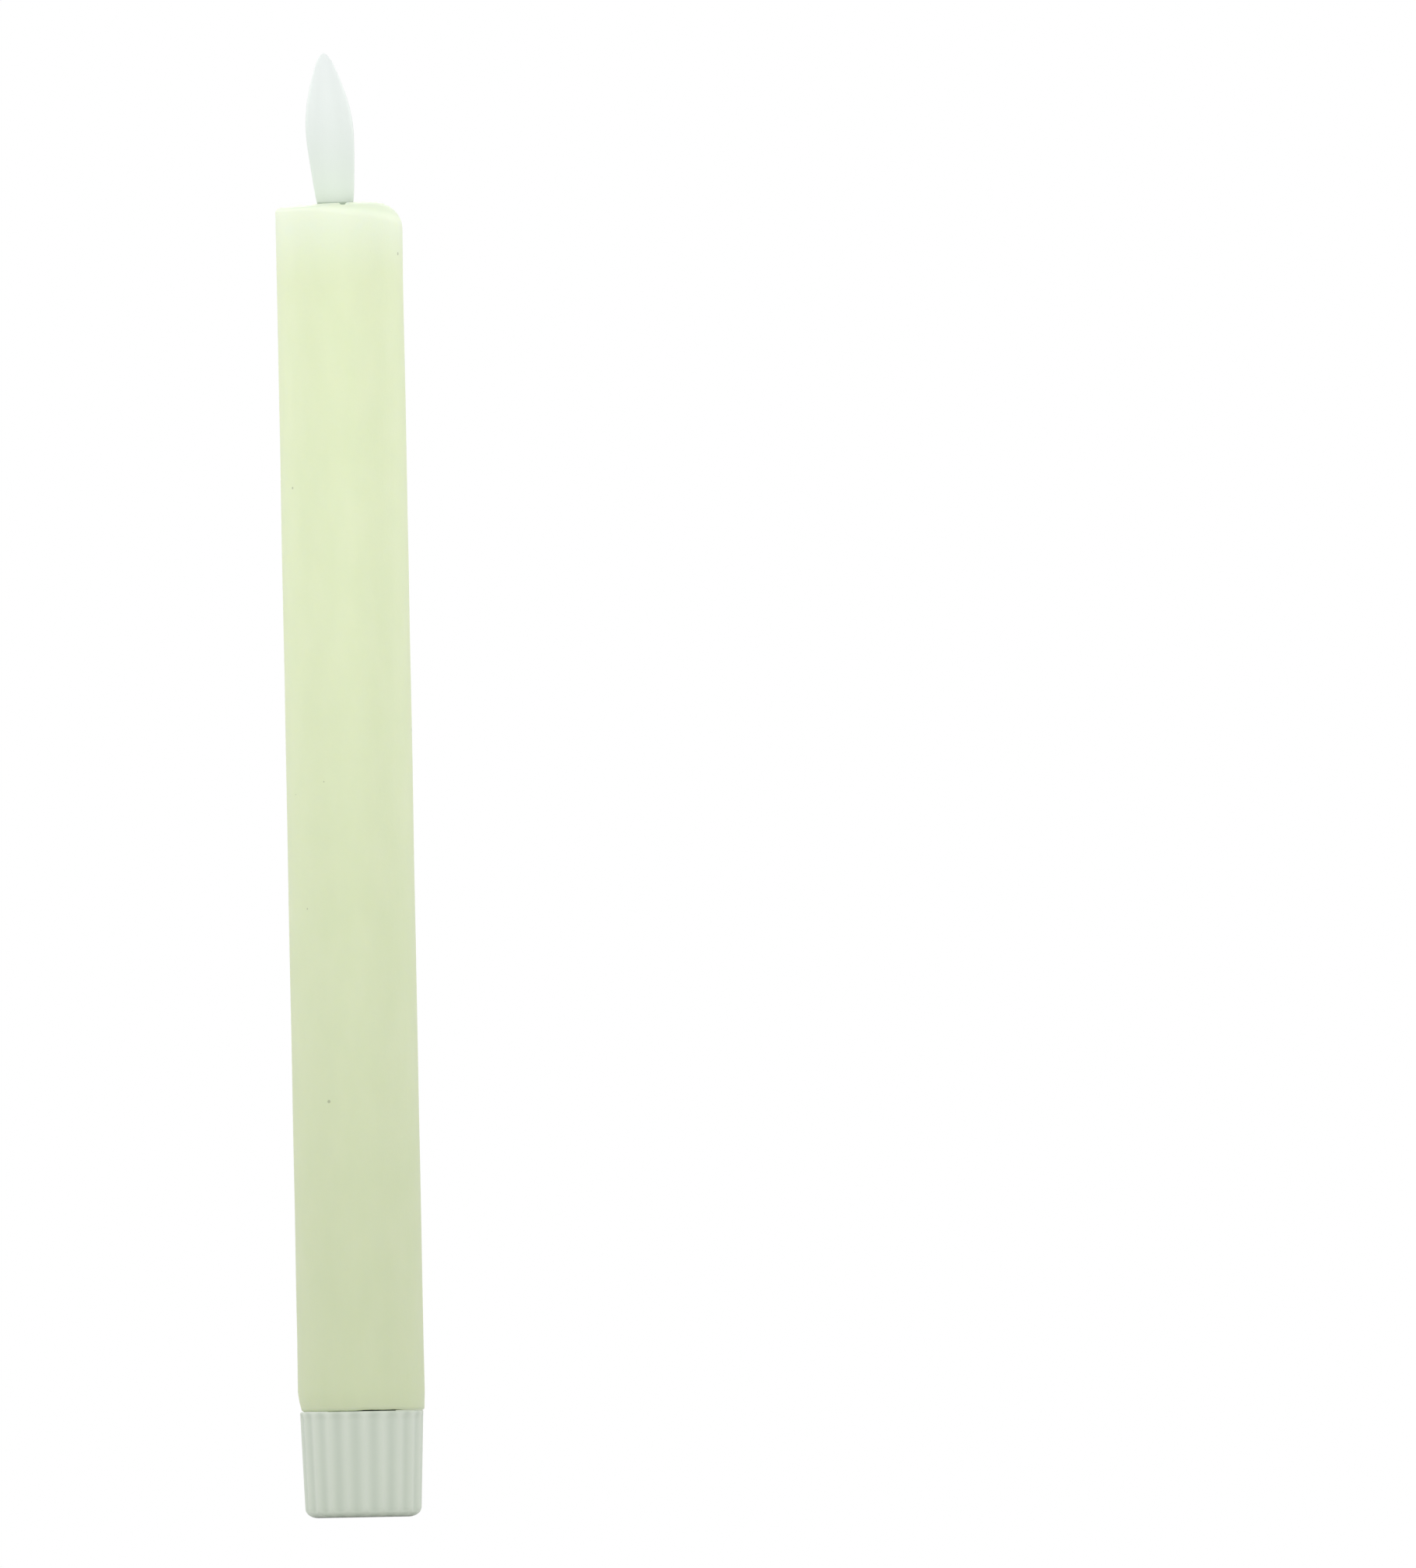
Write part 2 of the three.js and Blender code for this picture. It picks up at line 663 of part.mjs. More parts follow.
/** A thin hollow leaf, open at its mouth. */
function flameShell() {
  const outer = spin(flameOutline(0), 24);
  outer.scale(1, FLAME_FLATNESS, 1);
  const inner = spin(flameOutline(FLAME_WALL), 24);
  reshape(inner, (point) => {
    const thickness = Math.abs(point.y) * FLAME_FLATNESS;
    const wallShare = (1 - FLAME_FLATNESS) * FLAME_WALL * Math.min(Math.abs(point.y), 1);
    point.y = Math.sign(point.y) * Math.max(thickness - wallShare, 0);
    point.z = point.z <= FLAME_MOUTH_Z ? FLAME_MOUTH_Z - 1 : point.z;
  });
  return cut(outer, inner);
}

/** The flat stem: a plug in the flame's mouth, an eye on the wire, and a foot for the magnet. */
function flameStem() {
  const eye = disc(EYE_R, -STEM_HALF, STEM_HALF, 20);
  const hole = disc(EYE_HOLE_R, -1, 1, 16);
  eye.rotateX(Math.PI / 2);
  hole.rotateX(Math.PI / 2);
  const bar = box([-1.1, -STEM_HALF, STEM_BOTTOM], [1.1, STEM_HALF, FLAME_MOUTH_Z - GAP]);
  const plug = box([-1.2, -0.45, 0], [1.2, 0.45, FLAME_MOUTH_Z + 2.2]);
  const foot = disc(1.5, STEM_BOTTOM, STEM_BOTTOM + 0.6, 16);
  return cut(join(bar, eye, plug, foot), hole);
}

function magnet() {
  const top = STEM_BOTTOM - GAP;
  return disc(MAGNET_R, top - MAGNET_HEIGHT, top, 20);
}

function pivotWire() {
  const half = SOCKET_R - 0.2;
  const wire = disc(PIVOT_WIRE_R, -half, half, 12);
  wire.rotateX(Math.PI / 2);
  wire.translate(0, 0, PIVOT_Z);
  return wire;
}

// ---- Finishes ----------------------------------------------------------------------------

const FINISHES = {
  wax: { color: 0xe7efce, roughness: 0.55, metalness: 0 },
  ivoryPlastic: { color: 0xced7cb, roughness: 0.5, metalness: 0 },
  greyPlastic: { color: 0xb9c8c3, roughness: 0.45, metalness: 0 },
  whitePlastic: { color: 0xe4e6e0, roughness: 0.5, metalness: 0 },
  blackPlastic: { color: 0x1c1d1f, roughness: 0.5, metalness: 0 },
  flame: { color: 0xeef6f1, roughness: 0.35, metalness: 0 },
  nickel: { color: 0xb9bab8, roughness: 0.3, metalness: 1 },
  steel: { color: 0x9a9da0, roughness: 0.35, metalness: 1 },
  brass: { color: 0xb89a5a, roughness: 0.35, metalness: 1 },
  copper: { color: 0xb4643a, roughness: 0.4, metalness: 1 },
  cellJacket: { color: 0x5f6f64, roughness: 0.4, metalness: 0 },
  board: { color: 0x2f6b45, roughness: 0.5, metalness: 0 },
  resistor: { color: 0x3a3a3c, roughness: 0.6, metalness: 0 },
  capacitor: { color: 0x2b3550, roughness: 0.4, metalness: 0 },
  clearLens: { color: 0xf4efd8, roughness: 0.15, metalness: 0 },
  redWire: { color: 0xa8302a, roughness: 0.5, metalness: 0 },
  blackWire: { color: 0x202124, roughness: 0.5, metalness: 0 },
};

/** A named sub-part with a material of its own. */
function piece(name, geometry, finish) {
  const body = geometryOf(solid(geometry));
  const mesh = new THREE.Mesh(body, new THREE.MeshStandardMaterial(FINISHES[finish]));
  mesh.name = name;
  return mesh;
}

// ---- Assembly ----------------------------------------------------------------------------

const cap = new THREE.Group();
cap.add(
  piece("cap_shell", capShell(), "ivoryPlastic"),
  piece("thread_plug", threadPlug(), "greyPlastic"),
  piece("cap_contact", capContact(), "nickel"),
);

const cells = new THREE.Group();
cells.add(
  piece("battery_spring", batterySpring(), "steel"),
  piece("lower_cell", cell(CELL_1_BOTTOM), "cellJacket"),
  piece("upper_cell", cell(CELL_2_BOTTOM), "cellJacket"),
);

const shell = new THREE.Group();
shell.add(
  piece("wax_sleeve", waxSleeve(), "wax"),
  piece("core_tube", ring(CORE_BORE_R, CORE_R, CORE_BOTTOM, CORE_TOP, 40), "whitePlastic"),
  piece("threaded_collar", threadedCollar(), "brass"),
  piece("battery_tube", batteryTube(), "whitePlastic"),
  piece("negative_strip", negativeStrip(), "nickel"),
  piece("positive_plate", positivePlate(), "nickel"),
  piece("terminal_holder", terminalHolder(), "whitePlastic"),
);

const board = box(
  [-BOARD_HALF_WIDTH, -BOARD_FACE, BOARD_BOTTOM],
  [BOARD_HALF_WIDTH, BOARD_FACE, BOARD_TOP],
);
const electronics = new THREE.Group();
electronics.add(
  piece("circuit_board", board, "board"),
  piece("board_clip_lower", boardClip(BOARD_BOTTOM + 1), "whitePlastic"),
  piece("board_clip_upper", boardClip(BOARD_TOP - CLIP_HEIGHT - 12), "whitePlastic"),
  piece("controller_chip", controllerChip(), "blackPlastic"),
  piece("drive_transistor", onBoard(2.6, 165, 2.9, 1.1, 1.4), "blackPlastic"),
  piece("resistor_lower", onBoard(2.6, 161, 1.6, 0.55, 3.2), "resistor"),
  piece("resistor_upper", onBoard(-2.6, 180, 1.6, 0.55, 3.2), "resistor"),
  piece("capacitor", capacitorCan(), "capacitor"),
  piece("positive_lead", positiveLead(), "redWire"),
  piece("negative_lead", negativeLead(), "blackWire"),
  piece("led_lead_left", ledLead(-1), "redWire"),
  piece("led_lead_right", ledLead(1), "blackWire"),
  piece("coil_lead_left", coilLead(-1), "copper"),
  piece("coil_lead_right", coilLead(1), "copper"),
);

const lampHead = new THREE.Group();
lampHead.add(
  piece("flame_socket", flameSocket(), "whitePlastic"),
  piece("coil_bobbin", coilBobbin(), "whitePlastic"),
  piece("coil_winding", coilWinding(), "copper"),
  piece("led", led(), "clearLens"),
  piece("pivot_wire", pivotWire(), "steel"),
);

const swingingFlame = new THREE.Group();
swingingFlame.add(
  piece("flame_shell", flameShell(), "flame"),
  piece("flame_stem", flameStem(), "whitePlastic"),
  piece("magnet", magnet(), "nickel"),
);
swingingFlame.position.z = PIVOT_Z;
swingingFlame.rotation.y = -FLAME_LEAN;

const candle = new THREE.Group();
candle.add(cap, cells, shell, electronics, lampHead, swingingFlame);

export default candle;
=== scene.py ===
"""Looks of the flameless LED taper candle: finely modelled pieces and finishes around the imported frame.

Shapes are worked out in millimetres and brought to metres as each piece is finished. The front of
the candle faces -Y, its foot stands on z = 0 and its flame leans towards -X.
"""

import math

import bmesh
import bpy
from mathutils import Matrix, Vector, noise


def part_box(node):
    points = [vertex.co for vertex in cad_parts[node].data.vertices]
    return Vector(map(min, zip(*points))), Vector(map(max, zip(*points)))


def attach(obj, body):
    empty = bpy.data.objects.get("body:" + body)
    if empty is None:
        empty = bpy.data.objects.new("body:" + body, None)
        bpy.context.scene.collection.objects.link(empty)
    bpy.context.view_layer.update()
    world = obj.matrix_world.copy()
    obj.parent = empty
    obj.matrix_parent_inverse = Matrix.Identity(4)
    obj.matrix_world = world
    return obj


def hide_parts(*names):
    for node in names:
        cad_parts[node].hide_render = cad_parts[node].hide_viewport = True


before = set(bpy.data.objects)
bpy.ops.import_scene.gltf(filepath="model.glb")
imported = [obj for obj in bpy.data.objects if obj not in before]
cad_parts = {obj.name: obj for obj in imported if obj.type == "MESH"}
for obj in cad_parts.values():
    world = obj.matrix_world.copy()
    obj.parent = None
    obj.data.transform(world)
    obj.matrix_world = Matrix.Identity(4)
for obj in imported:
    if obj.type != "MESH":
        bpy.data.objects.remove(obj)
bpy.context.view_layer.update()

MM = 0.001

# ---- Sizes shared by several pieces, in millimetres ------------------------------------------

THREAD_LEAD = 1.8
THREAD_DEPTH = 0.4
THREAD_FADE = 0.6  # the stretch over which a thread runs out at its ends
RIB_COUNT = 20
RIB_TURN = math.radians(2.5)  # of the ribs against the candle's front


class Place:
    """Where a CAD node lies, in millimetres."""

    def __init__(self, node):
        low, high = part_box(node)
        self.x0, self.y0, self.z0 = low / MM
        self.x1, self.y1, self.z1 = high / MM
        self.radius = (self.x1 - self.x0) / 2
        self.height = self.z1 - self.z0
        corners = zip((self.x0, self.y0, self.z0), (self.x1, self.y1, self.z1))
        self.centre = Vector([(start + end) / 2 for start, end in corners])


# ---- Small numbers ---------------------------------------------------------------------------


def mix(low, high, share):
    """low where share is 0 and high where it is 1."""
    return low + (high - low) * share


def clamp(value):
    """The value, held between 0 and 1."""
    return max(0.0, min(1.0, value))


def ease(value):
    """0 to 1 with a soft start and end."""
    value = clamp(value)
    return value * value * (3 - 2 * value)


def within(value, low, high, ramp):
    """0 outside a stretch and 1 inside it, with a linear ramp at both ends."""
    return clamp(min(value - low, high - value) / ramp)


def ripple(point, size, seed):
    """Smooth noise from -1 to 1 whose bumps are about size across."""
    return noise.noise(Vector(point) / size + Vector((seed, seed, seed)))


def thread_form(z, angle):
    """Height along the right-hand thread: 1 on the boss's crest and 0 at its root, both flattened."""
    wave = (1 + math.cos(2 * math.pi * z / THREAD_LEAD - angle)) / 2
    return mix(wave, ease(wave), 0.6)


# ---- Outlines of [radius, z] points ----------------------------------------------------------


def arc(centre, width, height, start, end, steps):
    """Points along a quarter or half of an ellipse, from one angle in degrees to another."""
    angles = [math.radians(mix(start, end, step / steps)) for step in range(steps + 1)]
    return [(centre[0] + width * math.cos(a), centre[1] + height * math.sin(a)) for a in angles]


def column(radius, bottom, top, rows):
    """Evenly spaced points up a wall."""
    return [(radius, mix(bottom, top, row / rows)) for row in range(rows + 1)]


def tapered(low, high, rows):
    """Evenly spaced points from low to high, without the first."""
    shares = [row / rows for row in range(1, rows + 1)]
    return [(mix(low[0], high[0], share), mix(low[1], high[1], share)) for share in shares]


def rod(radius, bottom, top, rounding):
    """A rod's outline, with rounded edges."""
    return [
        (0, bottom),
        *arc((radius - rounding, bottom + rounding), rounding, rounding, -90, 0, 3),
        *arc((radius - rounding, top - rounding), rounding, rounding, 0, 90, 3),
        (0, top),
    ]


def tube(inner, outer, bottom, top, chamfer):
    """A tube's outline, with chamfered edges."""
    return [
        (inner + chamfer, bottom),
        (outer - chamfer, bottom),
        (outer, bottom + chamfer),
        (outer, top - chamfer),
        (outer - chamfer, top),
        (inner + chamfer, top),
        (inner, top - chamfer),
        (inner, bottom + chamfer),
    ]


def smooth_through(points, steps):
    """A rounded line through the points, with steps between each two."""
    ends = [points[0]] + list(points) + [points[-1]]
    line = []
    for a, b, c, d in zip(ends, ends[1:], ends[2:], ends[3:]):
        for step in range(steps):
            t = step / steps
            line.append(tuple(catmull_rom(t, *four) for four in zip(a, b, c, d)))
    return line + [tuple(points[-1])]


def catmull_rom(t, a, b, c, d):
    """A point between b and c, on the curve that runs from a to d."""
    bend = (2 * a - 5 * b + 4 * c - d) * t * t + (3 * b - a - 3 * c + d) * t ** 3
    return (2 * b + (c - a) * t + bend) / 2


# ---- Shapes ----------------------------------------------------------------------------------

ON_AXIS = 1e-6
SAME_POINT = 1e-4
SHARP_TURN = math.radians(30)


def chain(points):
    """The closed outline as edges in the XZ plane, without edges along the axis: they sweep no face."""
    shape = bmesh.new()
    verts = [shape.verts.new((radius, 0, z)) for radius, z in points]
    for start, end in zip(verts, verts[1:] + verts[:1]):
        if max(start.co.x, end.co.x) > ON_AXIS:
            shape.edges.new((start, end))
    return shape


def turned(points, steps):
    """The outline spun a full turn about Z."""
    shape = chain(points)
    spin_about_z(shape, steps)
    return shape


def spin_about_z(shape, steps):
    """Sweeps the shape's edges a full turn and closes the seam and the poles."""
    bmesh.ops.spin(
        shape,
        geom=shape.verts[:] + shape.edges[:],
        cent=(0, 0, 0),
        axis=(0, 0, 1),
        angle=2 * math.pi,
        steps=steps,
        use_merge=True,
    )
    merge(shape)


def merge(shape):
    """Joins the vertices that lie on each other and points the faces outwards."""
    bmesh.ops.remove_doubles(shape, verts=shape.verts[:], dist=SAME_POINT)
    bmesh.ops.recalc_face_normals(shape, faces=shape.faces[:])


def block(low, high, rounding=0.0):
    """A box between two corners, with rounded edges."""
    low = Vector(low)
    size = Vector(high) - low
    shape = bmesh.new()
    matrix = Matrix.Translation(low + size / 2) @ Matrix.Diagonal((*size, 1))
    bmesh.ops.create_cube(shape, size=1, matrix=matrix)
    round_edges(shape, rounding)
    return shape


def prism(points, direction, rounding):
    """A flat face through the points, drawn out along direction."""
    shape = bmesh.new()
    face = shape.faces.new([shape.verts.new(point) for point in points])
    grown = bmesh.ops.extrude_face_region(shape, geom=[face], use_keep_orig=True)
    moved = [item for item in grown["geom"] if isinstance(item, bmesh.types.BMVert)]
    bmesh.ops.translate(shape, verts=moved, vec=direction)
    bmesh.ops.recalc_face_normals(shape, faces=shape.faces[:])
    round_edges(shape, rounding)
    return shape


def round_edges(shape, rounding):
    """Bevels the edges where the surface turns sharply."""
    if not rounding:
        return
    edges = [edge for edge in shape.edges if edge.calc_face_angle(0) > SHARP_TURN]
    bmesh.ops.bevel(
        shape,
        geom=edges,
        offset=rounding,
        segments=2,
        profile=0.5,
        affect="EDGES",
        clamp_overlap=True,
        material=-1,
    )


def moved_by(shape, matrix):
    bmesh.ops.transform(shape, matrix=matrix, verts=shape.verts[:])
    return shape


def shifted(shape, y=0.0, z=0.0):
    return moved_by(shape, Matrix.Translation((0, y, z)))


def along_y(shape):
    """Lays a shape that stands on Z along Y."""
    return moved_by(shape, Matrix.Rotation(math.pi / 2, 4, "X"))


def together(*shapes):
    """Several shapes in one."""
    whole = bmesh.new()
    for shape in shapes:
        carrier = bpy.data.meshes.new("carrier")
        shape.to_mesh(carrier)
        shape.free()
        whole.from_mesh(carrier)
        bpy.data.meshes.remove(carrier)
    return whole


def reshape(shape, rule):
    """Moves every vertex to where rule(point, radius, angle) says."""
    for vert in shape.verts:
        angle = math.atan2(vert.co.y, vert.co.x)
        radius = math.hypot(vert.co.x, vert.co.y)
        vert.co = rule(vert.co.copy(), radius, angle)
    shape.normal_update()
    return shape


def polar(radius, angle, z):
    return Vector((radius * math.cos(angle), radius * math.sin(angle), z))


def loose_object(shape, name):
    """An object of the scene with that shape. The shape is used up."""
    mesh = bpy.data.meshes.new(name)
    shape.to_mesh(mesh)
    shape.free()
    thing = bpy.data.objects.new(name, mesh)
    bpy.context.scene.collection.objects.link(thing)
    return thing


def carved(shape, *cutters):
    """The shape with the cutters taken away."""
    body = loose_object(shape, "body_to_cut")
    tools = [loose_object(cutter, "cutter") for cutter in cutters]
    for tool in tools:
        change = body.modifiers.new("cut", "BOOLEAN")
        change.operation = "DIFFERENCE"
        change.solver = "EXACT"
        change.object = tool
    evaluated = body.evaluated_get(bpy.context.evaluated_depsgraph_get())
    mesh = bpy.data.meshes.new_from_object(evaluated)
    result = bmesh.new()
    result.from_mesh(mesh)
    bpy.data.meshes.remove(mesh)
    for thing in [body, *tools]:
        bpy.data.meshes.remove(thing.data)
    return result


# ---- Finishes --------------------------------------------------------------------------------


def srgb(red, green, blue):
    """A colour given from 0 to 255, as a shader takes it."""

    def linear(level):
        share = level / 255
        return share / 12.92 if share <= 0.04045 else ((share + 0.055) / 1.055) ** 2.4

    return (linear(red), linear(green), linear(blue), 1.0)


class Value:
    """A socket in an expression: arithmetic on it adds Math nodes."""

    def __init__(self, finish, socket):
        self.finish = finish
        self.socket = socket

    def _math(self, operation, first, second):
        return self.finish.node("Math", {"operation": operation}, {0: first, 1: second})

    def __add__(self, other):
        return self._math("ADD", self, other)

    def __sub__(self, other):
        return self._math("SUBTRACT", self, other)

    def __rsub__(self, other):
        return self._math("SUBTRACT", other, self)

    def __mul__(self, other):
        return self._math("MULTIPLY", self, other)

    def __pow__(self, other):
        return self._math("POWER", self, other)

    def __lt__(self, other):
        return self._math("LESS_THAN", self, other)

    def __gt__(self, other):
        return self._math("GREATER_THAN", self, other)

    __radd__ = __add__
    __rmul__ = __mul__


class Finish:
    """The nodes of a material or of the world, built from expressions."""

    def __init__(self, owner):
        owner.use_nodes = True
        self.owner = owner
        self.tree = owner.node_tree
        self.tree.nodes.clear()

    def node(self, kind, settings=None, sockets=None, out=0):
        """One node: its settings first, then the values or links of its sockets. Gives one output."""
        made = self.tree.nodes.new("ShaderNode" + kind)
        for name, value in (settings or {}).items():
            if name == "stops":
                set_stops(made.color_ramp, value)
            else:
                setattr(made, name, value)
        for name, value in (sockets or {}).items():
            if isinstance(value, Value):
                self.tree.links.new(value.socket, made.inputs[name])
            else:
                made.inputs[name].default_value = value
        return Value(self, made.outputs[out]) if made.outputs else None

    def here(self, scale=(1, 1, 1)):
        """Object coordinates, stretched by scale."""
        place = self.node("TexCoord", out="Object")
        return self.node("Mapping", None, {"Vector": place, "Scale": scale})

    def clouds(self, size, detail, scale=(1, 1, 1)):
        """Noise from 0 to 1 with features about size millimetres across."""
        sockets = {"Vector": self.here(scale), "Scale": 1 / (size * MM), "Detail": detail}
        return self.node("TexNoise", None, sockets)

    def specks(self, spacing, radius):
        """1 in rare round spots of up to that radius, in millimetres."""
        sockets = {"Vector": self.here(), "Scale": 1 / (spacing * MM)}
        distance = self.node("TexVoronoi", None, sockets)
        return distance < radius / spacing

    def axes(self):
        """The x, y and z of a point, in millimetres."""
        place = self.node("TexCoord", out="Object")
        split = [self.node("SeparateXYZ", None, {0: place}, out=axis) for axis in range(3)]
        return [part * (1 / MM) for part in split]

    def rise(self, value, low, high):
        """0 below low and 1 above high, with a soft step between them."""
        return self.node("MapRange", {"interpolation_type": "SMOOTHSTEP"}, {0: value, 1: low, 2: high})

    def either(self, first, second):
        """The larger of two values."""
        return self.node("Math", {"operation": "MAXIMUM"}, {0: first, 1: second})

    def ramp(self, factor, *stops):
        """A colour for each level of factor."""
        return self.node("ValToRGB", {"stops": stops}, {0: factor})

    def tint(self, share, low, high):
        """The colour low where share is 0 and high where it is 1."""
        return self.node("Mix", {"data_type": "RGBA"}, {0: share, 6: low, 7: high}, out=2)

    def bump(self, height, depth, strength):
        """A normal that follows height, where a step of 1 is depth millimetres."""
        sockets = {"Height": height, "Distance": depth * MM, "Strength": strength}
        return self.node("Bump", None, sockets, out="Normal")

    def surface(self, sockets):
        """Ends the material in one principled shader."""
        return self.ends_in(self.node("BsdfPrincipled", None, sockets))

    def ends_in(self, shader, kind="OutputMaterial"):
        self.node(kind, None, {"Surface": shader})
        return self.owner


def set_stops(ramp, stops):
    while len(ramp.elements) < len(stops):
        ramp.elements.new(0.5)
    for element, (position, colour) in zip(ramp.elements, stops):
        element.position = position
        element.color = colour


def new_finish(name):
    return Finish(bpy.data.materials.new(name))


def wax_finish():
    """Pale wax: soft clouding, faint drip streaks, fine grain and a few specks, with painted light that
    makes its upper part paler and painted shade that makes its flat top a little darker.
    """
    wax = new_finish("wax")
    place = Place("wax_sleeve")
    clouding = wax.clouds(14, 4) * 0.5 + wax.clouds(3.5, 3, (1, 1, 0.35)) * 0.5
    grain = wax.clouds(0.7, 4)
    specks = wax.specks(9.0, 0.28)
    pale = wax.tint(clouding, srgb(222, 234, 193), srgb(235, 243, 208))
    pores = wax.specks(2.6, 0.14)
    x, y, z = wax.axes()
    # Painted light: the upper 15 mm of the wax is tinted paler, as light from above and through the top
    # would make it.
    high = wax.rise(z, place.z1 - 15, place.z1 + 1)
    painted_top_light = wax.tint(high, pale, srgb(239, 249, 226))
    # Painted shade: the flat top inside the shoulder is tinted a little darker, to hold down the lamps'
    # light on it.
    on_top = wax.rise(place.radius - (x * x + y * y) ** 0.5, 0.0, 0.9)
    melted = wax.tint(high * on_top, painted_top_light, srgb(229, 240, 214))
    colour = wax.tint(specks * 0.5, melted, srgb(150, 155, 128))
    height = grain * 0.35 + clouding * 1.2 - specks * 0.8 - pores * 0.5
    return wax.surface(
        {
            "Base Color": colour,
            "Roughness": 0.5 + grain * 0.12,
            "Subsurface Weight": 0.35,
            "Subsurface Radius": (1.0, 0.9, 0.55),
            "Subsurface Scale": 0.0025,
            "Specular IOR Level": 0.35,
            "Normal": wax.bump(height, 0.12, 0.5),
        }
    )


def cap_finish():
    """Milky moulded plastic, painted darker in the flutes between the ribs as shade and paler on the rib
    crests as painted light.
    """
    cap = new_finish("ivory_plastic")
    x, y, z = cap.axes()
    angle = cap.node("Math", {"operation": "ARCTAN2"}, {0: y, 1: x})
    phase = angle * RIB_COUNT - RIB_COUNT * RIB_TURN
    # Painted shade and light: 1 on the rib crests, tinted paler, and 0 in the flutes, tinted darker;
    # mixed below with random flow clouding.
    ridge = cap.node("Math", {"operation": "COSINE"}, {0: phase}) * 0.5 + 0.5
    flow = cap.clouds(5, 3, (1, 1, 0.3))
    grain = cap.clouds(0.35, 3)
    shade = ridge * 0.65 + flow * 0.35
    colour = cap.tint(shade, srgb(216, 226, 211), srgb(235, 243, 229))
    return cap.surface(
        {
            "Base Color": colour,
            "Roughness": 0.42 + flow * 0.12,
            "Subsurface Weight": 0.2,
            "Subsurface Radius": (1.0, 1.0, 0.9),
            "Subsurface Scale": 0.0015,
            "Normal": cap.bump(grain + flow * 0.6, 0.03, 0.5),
        }
    )


def moulded(name, dark, pale, roughness):
    """Moulded plastic: flow clouding and a fine spark-eroded grain."""
    plastic = new_finish(name)
    flow = plastic.clouds(4, 3, (1, 1, 0.4))
    grain = plastic.clouds(0.3, 3)
    return plastic.surface(
        {
            "Base Color": plastic.tint(flow, dark, pale),
            "Roughness": roughness + grain * 0.12,
            "Subsurface Weight": 0.1,
            "Subsurface Scale": 0.001,
            "Normal": plastic.bump(grain + flow * 0.5, 0.03, 0.5),
        }
    )


def flame_finish():
    """Frosted translucent plastic, darker low in the leaf, with painted shade where it dips into the wax.
    """
    flame = new_finish("flame_plastic")
    leaf = Place("flame_shell")
    z = flame.axes()[2]
    share = (z - leaf.z0) * (1 / leaf.height)
    milk = flame.clouds(5, 3)
    frost = flame.clouds(0.25, 4)
    body = flame.ramp(
        share * 0.92 + milk * 0.08,
        (0.0, srgb(222, 232, 220)),
        (0.45, srgb(232, 240, 234)),
        (1.0, srgb(237, 243, 241)),
    )
    wax_top = Place("wax_sleeve").z1
    # Painted shade: below the wax's top the leaf is tinted a dark green-grey, as the shadow of the wax's
    # lip.
    clear_of_wax = flame.rise(z, wax_top - 0.3, wax_top + 0.15)
    return flame.surface(
        {
            "Base Color": flame.tint(clear_of_wax, srgb(186, 201, 182), body),
            "Roughness": 0.38 + frost * 0.14,
            "Subsurface Weight": 0.15,
            "Subsurface Radius": (1.0, 1.0, 0.95),
            "Subsurface Scale": 0.0008,
            "Specular IOR Level": 0.4,
            "Normal": flame.bump(frost, 0.02, 0.5),
        }
    )


def metal(name, dull, bright, roughness, brush=(1, 1, 1), dents=0.0):
    """Bare metal with brushed streaks, tarnish clouds and shallow dents."""
    sheet = new_finish(name)
    streaks = sheet.clouds(0.5, 4, brush)
    tarnish = sheet.clouds(1.6, 3)
    return sheet.surface(
        {
            "Base Color": sheet.tint(tarnish, dull, bright),
            "Metallic": 1.0,
            "Roughness": roughness + streaks * 0.14,
            "Normal": sheet.bump(streaks * 0.2 + tarnish * dents, 0.05, 0.6),
        }
    )


def copper_finish():
    """Enamelled copper, painted darker between the fine turns of wire as shade and paler on them as
    painted light.
    """
    copper = new_finish("copper")
    z = copper.axes()[2]
    # Painted shade and light: dark between the turns of wire and pale on them, mixed with random stains.
    turns = copper.node("Math", {"operation": "SINE"}, {0: z * 24}) * 0.5 + 0.5
    stain = copper.clouds(1.2, 3)
    return copper.surface(
        {
            "Base Color": copper.tint(turns * 0.6 + stain * 0.4, srgb(120, 58, 30), srgb(196, 112, 62)),
            "Metallic": 1.0,
            "Roughness": 0.3 + stain * 0.15,
            "Coat Weight": 0.5,
            "Normal": copper.bump(turns, 0.03, 0.6),
        }
    )


def jacket_finish():
    """Printed shrink film: a plain dark sleeve with a pale band at the positive end."""
    film = new_finish("cell_jacket")
    tall = Place("lower_cell")
    pitch = Place("upper_cell").z0 - tall.z0
    z = film.axes()[2]
    along = film.node("Math", {"operation": "WRAP"}, {0: z - tall.z0, 1: pitch, 2: 0.0})
    band = along > tall.height * 0.72
    wrinkle = film.clouds(2.5, 3, (1, 1, 0.2))
    scuff = film.clouds(0.8, 4)
    print_colour = film.tint(band, srgb(62, 74, 72), srgb(188, 178, 132))
    return film.surface(
        {
            "Base Color": film.tint(scuff * 0.25, print_colour, srgb(120, 124, 118)),
            "Roughness": 0.28 + scuff * 0.2,
            "Normal": film.bump(wrinkle, 0.05, 0.5),
        }
    )


def board_finish():
    """Green solder mask over tracks, with the glass weave just showing."""
    board = new_finish("board")
    x, _, z = board.axes()
    tracks = board.node("Math", {"operation": "SINE"}, {0: x * 4.4 + board.clouds(6, 1) * 5})
    weave = board.node("Math", {"operation": "SINE"}, {0: z * 9}) * 0.5 + 0.5
    mask = board.tint(tracks > 0.35, srgb(30, 82, 52), srgb(46, 110, 68))
    return board.surface(
        {
            "Base Color": board.tint(weave * 0.12, mask, srgb(150, 160, 110)),
            "Roughness": 0.35 + weave * 0.1,
            "Coat Weight": 0.4,
            "Normal": board.bump((tracks > 0.35) + weave * 0.3, 0.03, 0.6),
        }
    )


